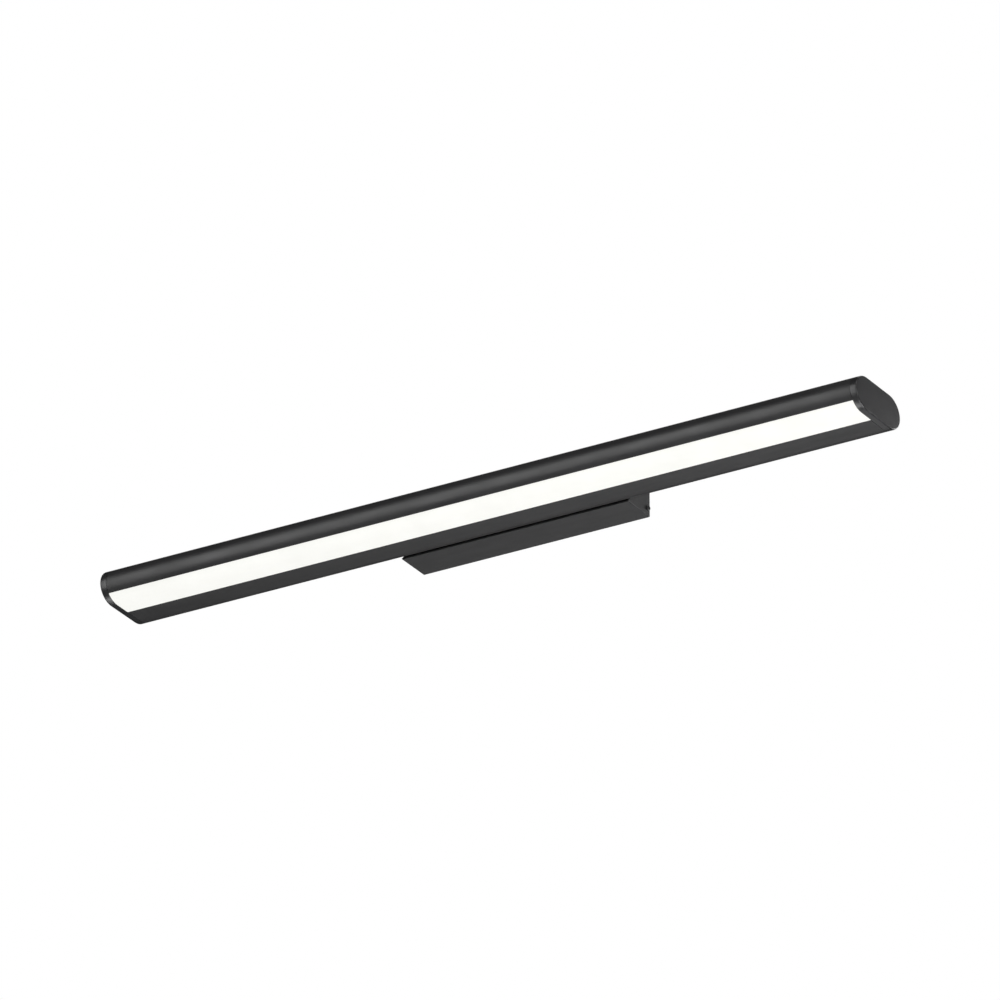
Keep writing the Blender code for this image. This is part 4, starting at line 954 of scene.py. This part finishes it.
def make_cover():
    """The box: open at the wall, with lips and hollowed end panels that wrap the bar's back."""
    low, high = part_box("bracket_cover")
    wide, tall = high.x - low.x, high.z - low.z
    outline = rounded_rectangle((0, 0), wide, tall, BOX_CORNER)
    cover = extruded("wall_box_cover", [outline], "Y", low.y, high.y, "box_coat")
    front_wall = BAR_HIGH.y + BAR_GAP
    back_of_wall = front_wall + BOX_WALL
    inner = BOX_CORNER / 2
    inside = rounded_rectangle((0, 0), wide - 2 * BOX_WALL, tall - 2 * BOX_WALL, inner)
    cutters = [
        extruded("pocket", [inside], "Y", back_of_wall, high.y + OVER),
        extruded("pocket", [inside], "Y", low.y - OVER, front_wall),
        extruded("recess", [bar_outline(-END_PANEL_GAP)], "X", -wide, wide),
    ]
    holes = [(centre("lead_grommet").x, LEAD_HOLE_RADIUS)]
    for side, _ in SIDES:
        holes.append((centre(f"bar_screw_{side}").x, BAR_HOLE_RADIUS))
        holes.append((centre(f"driver_screw_{side}").x, DRIVER_HOLE_RADIUS))
    for x, radius in holes:
        start, end = (x, front_wall - OVER, 0), (x, back_of_wall + OVER, 0)
        cutters.append(rod("hole", start, end, radius))
    for side, sign in SIDES:
        cutters.append(side_hole(side, sign, high.x if sign > 0 else low.x, BOX_WALL))
    combine(cover, "DIFFERENCE", *cutters)
    soften(cover, COVER_ROUNDING)
    stand_in(cover, "bracket_cover")


def make_wall_plate():
    """The steel plate on the wall, with slots for its screws and a bent ear at each end."""
    low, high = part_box("wall_plate")
    front = high.y - PLATE_THICKNESS
    outline = rounded_rectangle((0, 0), high.x - low.x, high.z - low.z, BOX_CORNER)
    plate = extruded("wall_plate_sheet", [outline], "Y", front, high.y, "zinc_steel")
    ear_top = high.z - EAR_INSET
    cutters, ears = [], []
    for side, sign in SIDES:
        end = high.x if sign > 0 else low.x
        ends = sorted((end, end - sign * PLATE_THICKNESS))
        ears.append(box("ear", (ends[0], low.y, -ear_top), (ends[1], front + EAR_BITE, ear_top)))
        middle = (centre(f"bar_screw_{side}").x, 0)
        radius = SLOT_WIDTH / 2 - WELD
        slot = rounded_rectangle(middle, SLOT_LENGTH, SLOT_WIDTH, radius, SLOT_STEPS)
        cutters.append(extruded("slot", [slot], "Y", front - OVER, high.y + OVER))
        cutters.append(side_hole(side, sign, end, PLATE_THICKNESS))
    block_low, block_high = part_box("terminal_block")
    middle, quarter = (block_low.x + block_high.x) / 2, (block_high.x - block_low.x) / 4
    for x, radius in (
        (centre("entry_grommet").x, ENTRY_HOLE_RADIUS),
        (centre("earth_screw").x, EARTH_HOLE_RADIUS),
        (middle - quarter, PEG_HOLE_RADIUS),
        (middle + quarter, PEG_HOLE_RADIUS),
    ):
        cutters.append(rod("hole", (x, front - OVER, 0), (x, high.y + OVER, 0), radius))
    combine(plate, "UNION", *ears)
    combine(plate, "DIFFERENCE", *cutters)
    soften(plate, PLATE_ROUNDING)
    stand_in(plate, "wall_plate")


def make_side_screw(side, sign):
    """A small pan-head screw with a cross recess."""
    low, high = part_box(f"side_screw_{side}")
    middle = (low + high) / 2
    head_radius = (high.z - low.z) / 2
    head_height = SIDE_SCREW_HEAD_HEIGHT
    tip = low.x if sign > 0 else high.x
    seat = (high.x - head_height) if sign > 0 else (low.x + head_height)
    length = abs(seat - tip)
    edge = HEAD_EDGE * head_height
    profile = []
    for step in range(CROWN_STEPS + 1):
        a = math.pi / 2 * step / CROWN_STEPS
        profile.append((head_radius * math.sin(a), edge + (head_height - edge) * math.cos(a)))
    profile += [(head_radius, 0), (SIDE_SCREW_SHANK_RADIUS, 0)]
    for turn in range(int((length - THREAD_SHORT) / THREAD_PITCH)):
        height = -THREAD_START - turn * THREAD_PITCH
        profile.append((SIDE_SCREW_SHANK_RADIUS, height))
        profile.append((SIDE_SCREW_SHANK_RADIUS - THREAD_DEPTH, height - THREAD_PITCH / 2))
    profile += [(SIDE_SCREW_TIP_RADIUS, -length), (0, -length)]
    place, direction = (seat, middle.y, middle.z), (sign, 0, 0)
    screw = turned(f"cover_screw_{side}", profile, place, direction, "black_steel")
    near, far = sorted((seat + sign * edge, seat + sign * 2 * head_height))
    long_half, short_half = CROSS_LONG * head_radius, CROSS_SHORT * head_radius
    arms = []
    for across, up in ((long_half, short_half), (short_half, long_half)):
        start = (near, middle.y - across, middle.z - up)
        arms.append(box("arm", start, (far, middle.y + across, middle.z + up)))
    combine(screw, "DIFFERENCE", *arms)
    stand_in(screw, f"side_screw_{side}")


# ---------------------------------------------------------------- build

MATERIALS = make_materials()
make_camera()
make_housing()
make_diffuser()
for side_name, side_sign in SIDES:
    make_end_cap(side_name, side_sign)
    make_side_screw(side_name, side_sign)
make_cover()
make_wall_plate()

for cad_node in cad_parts.values():
    for material_slot in cad_node.material_slots:
        name = material_slot.material.name.split(".")[0]
        if name in MATERIALS:
            material_slot.material = MATERIALS[name]

make_lights()
make_world()
make_floor()
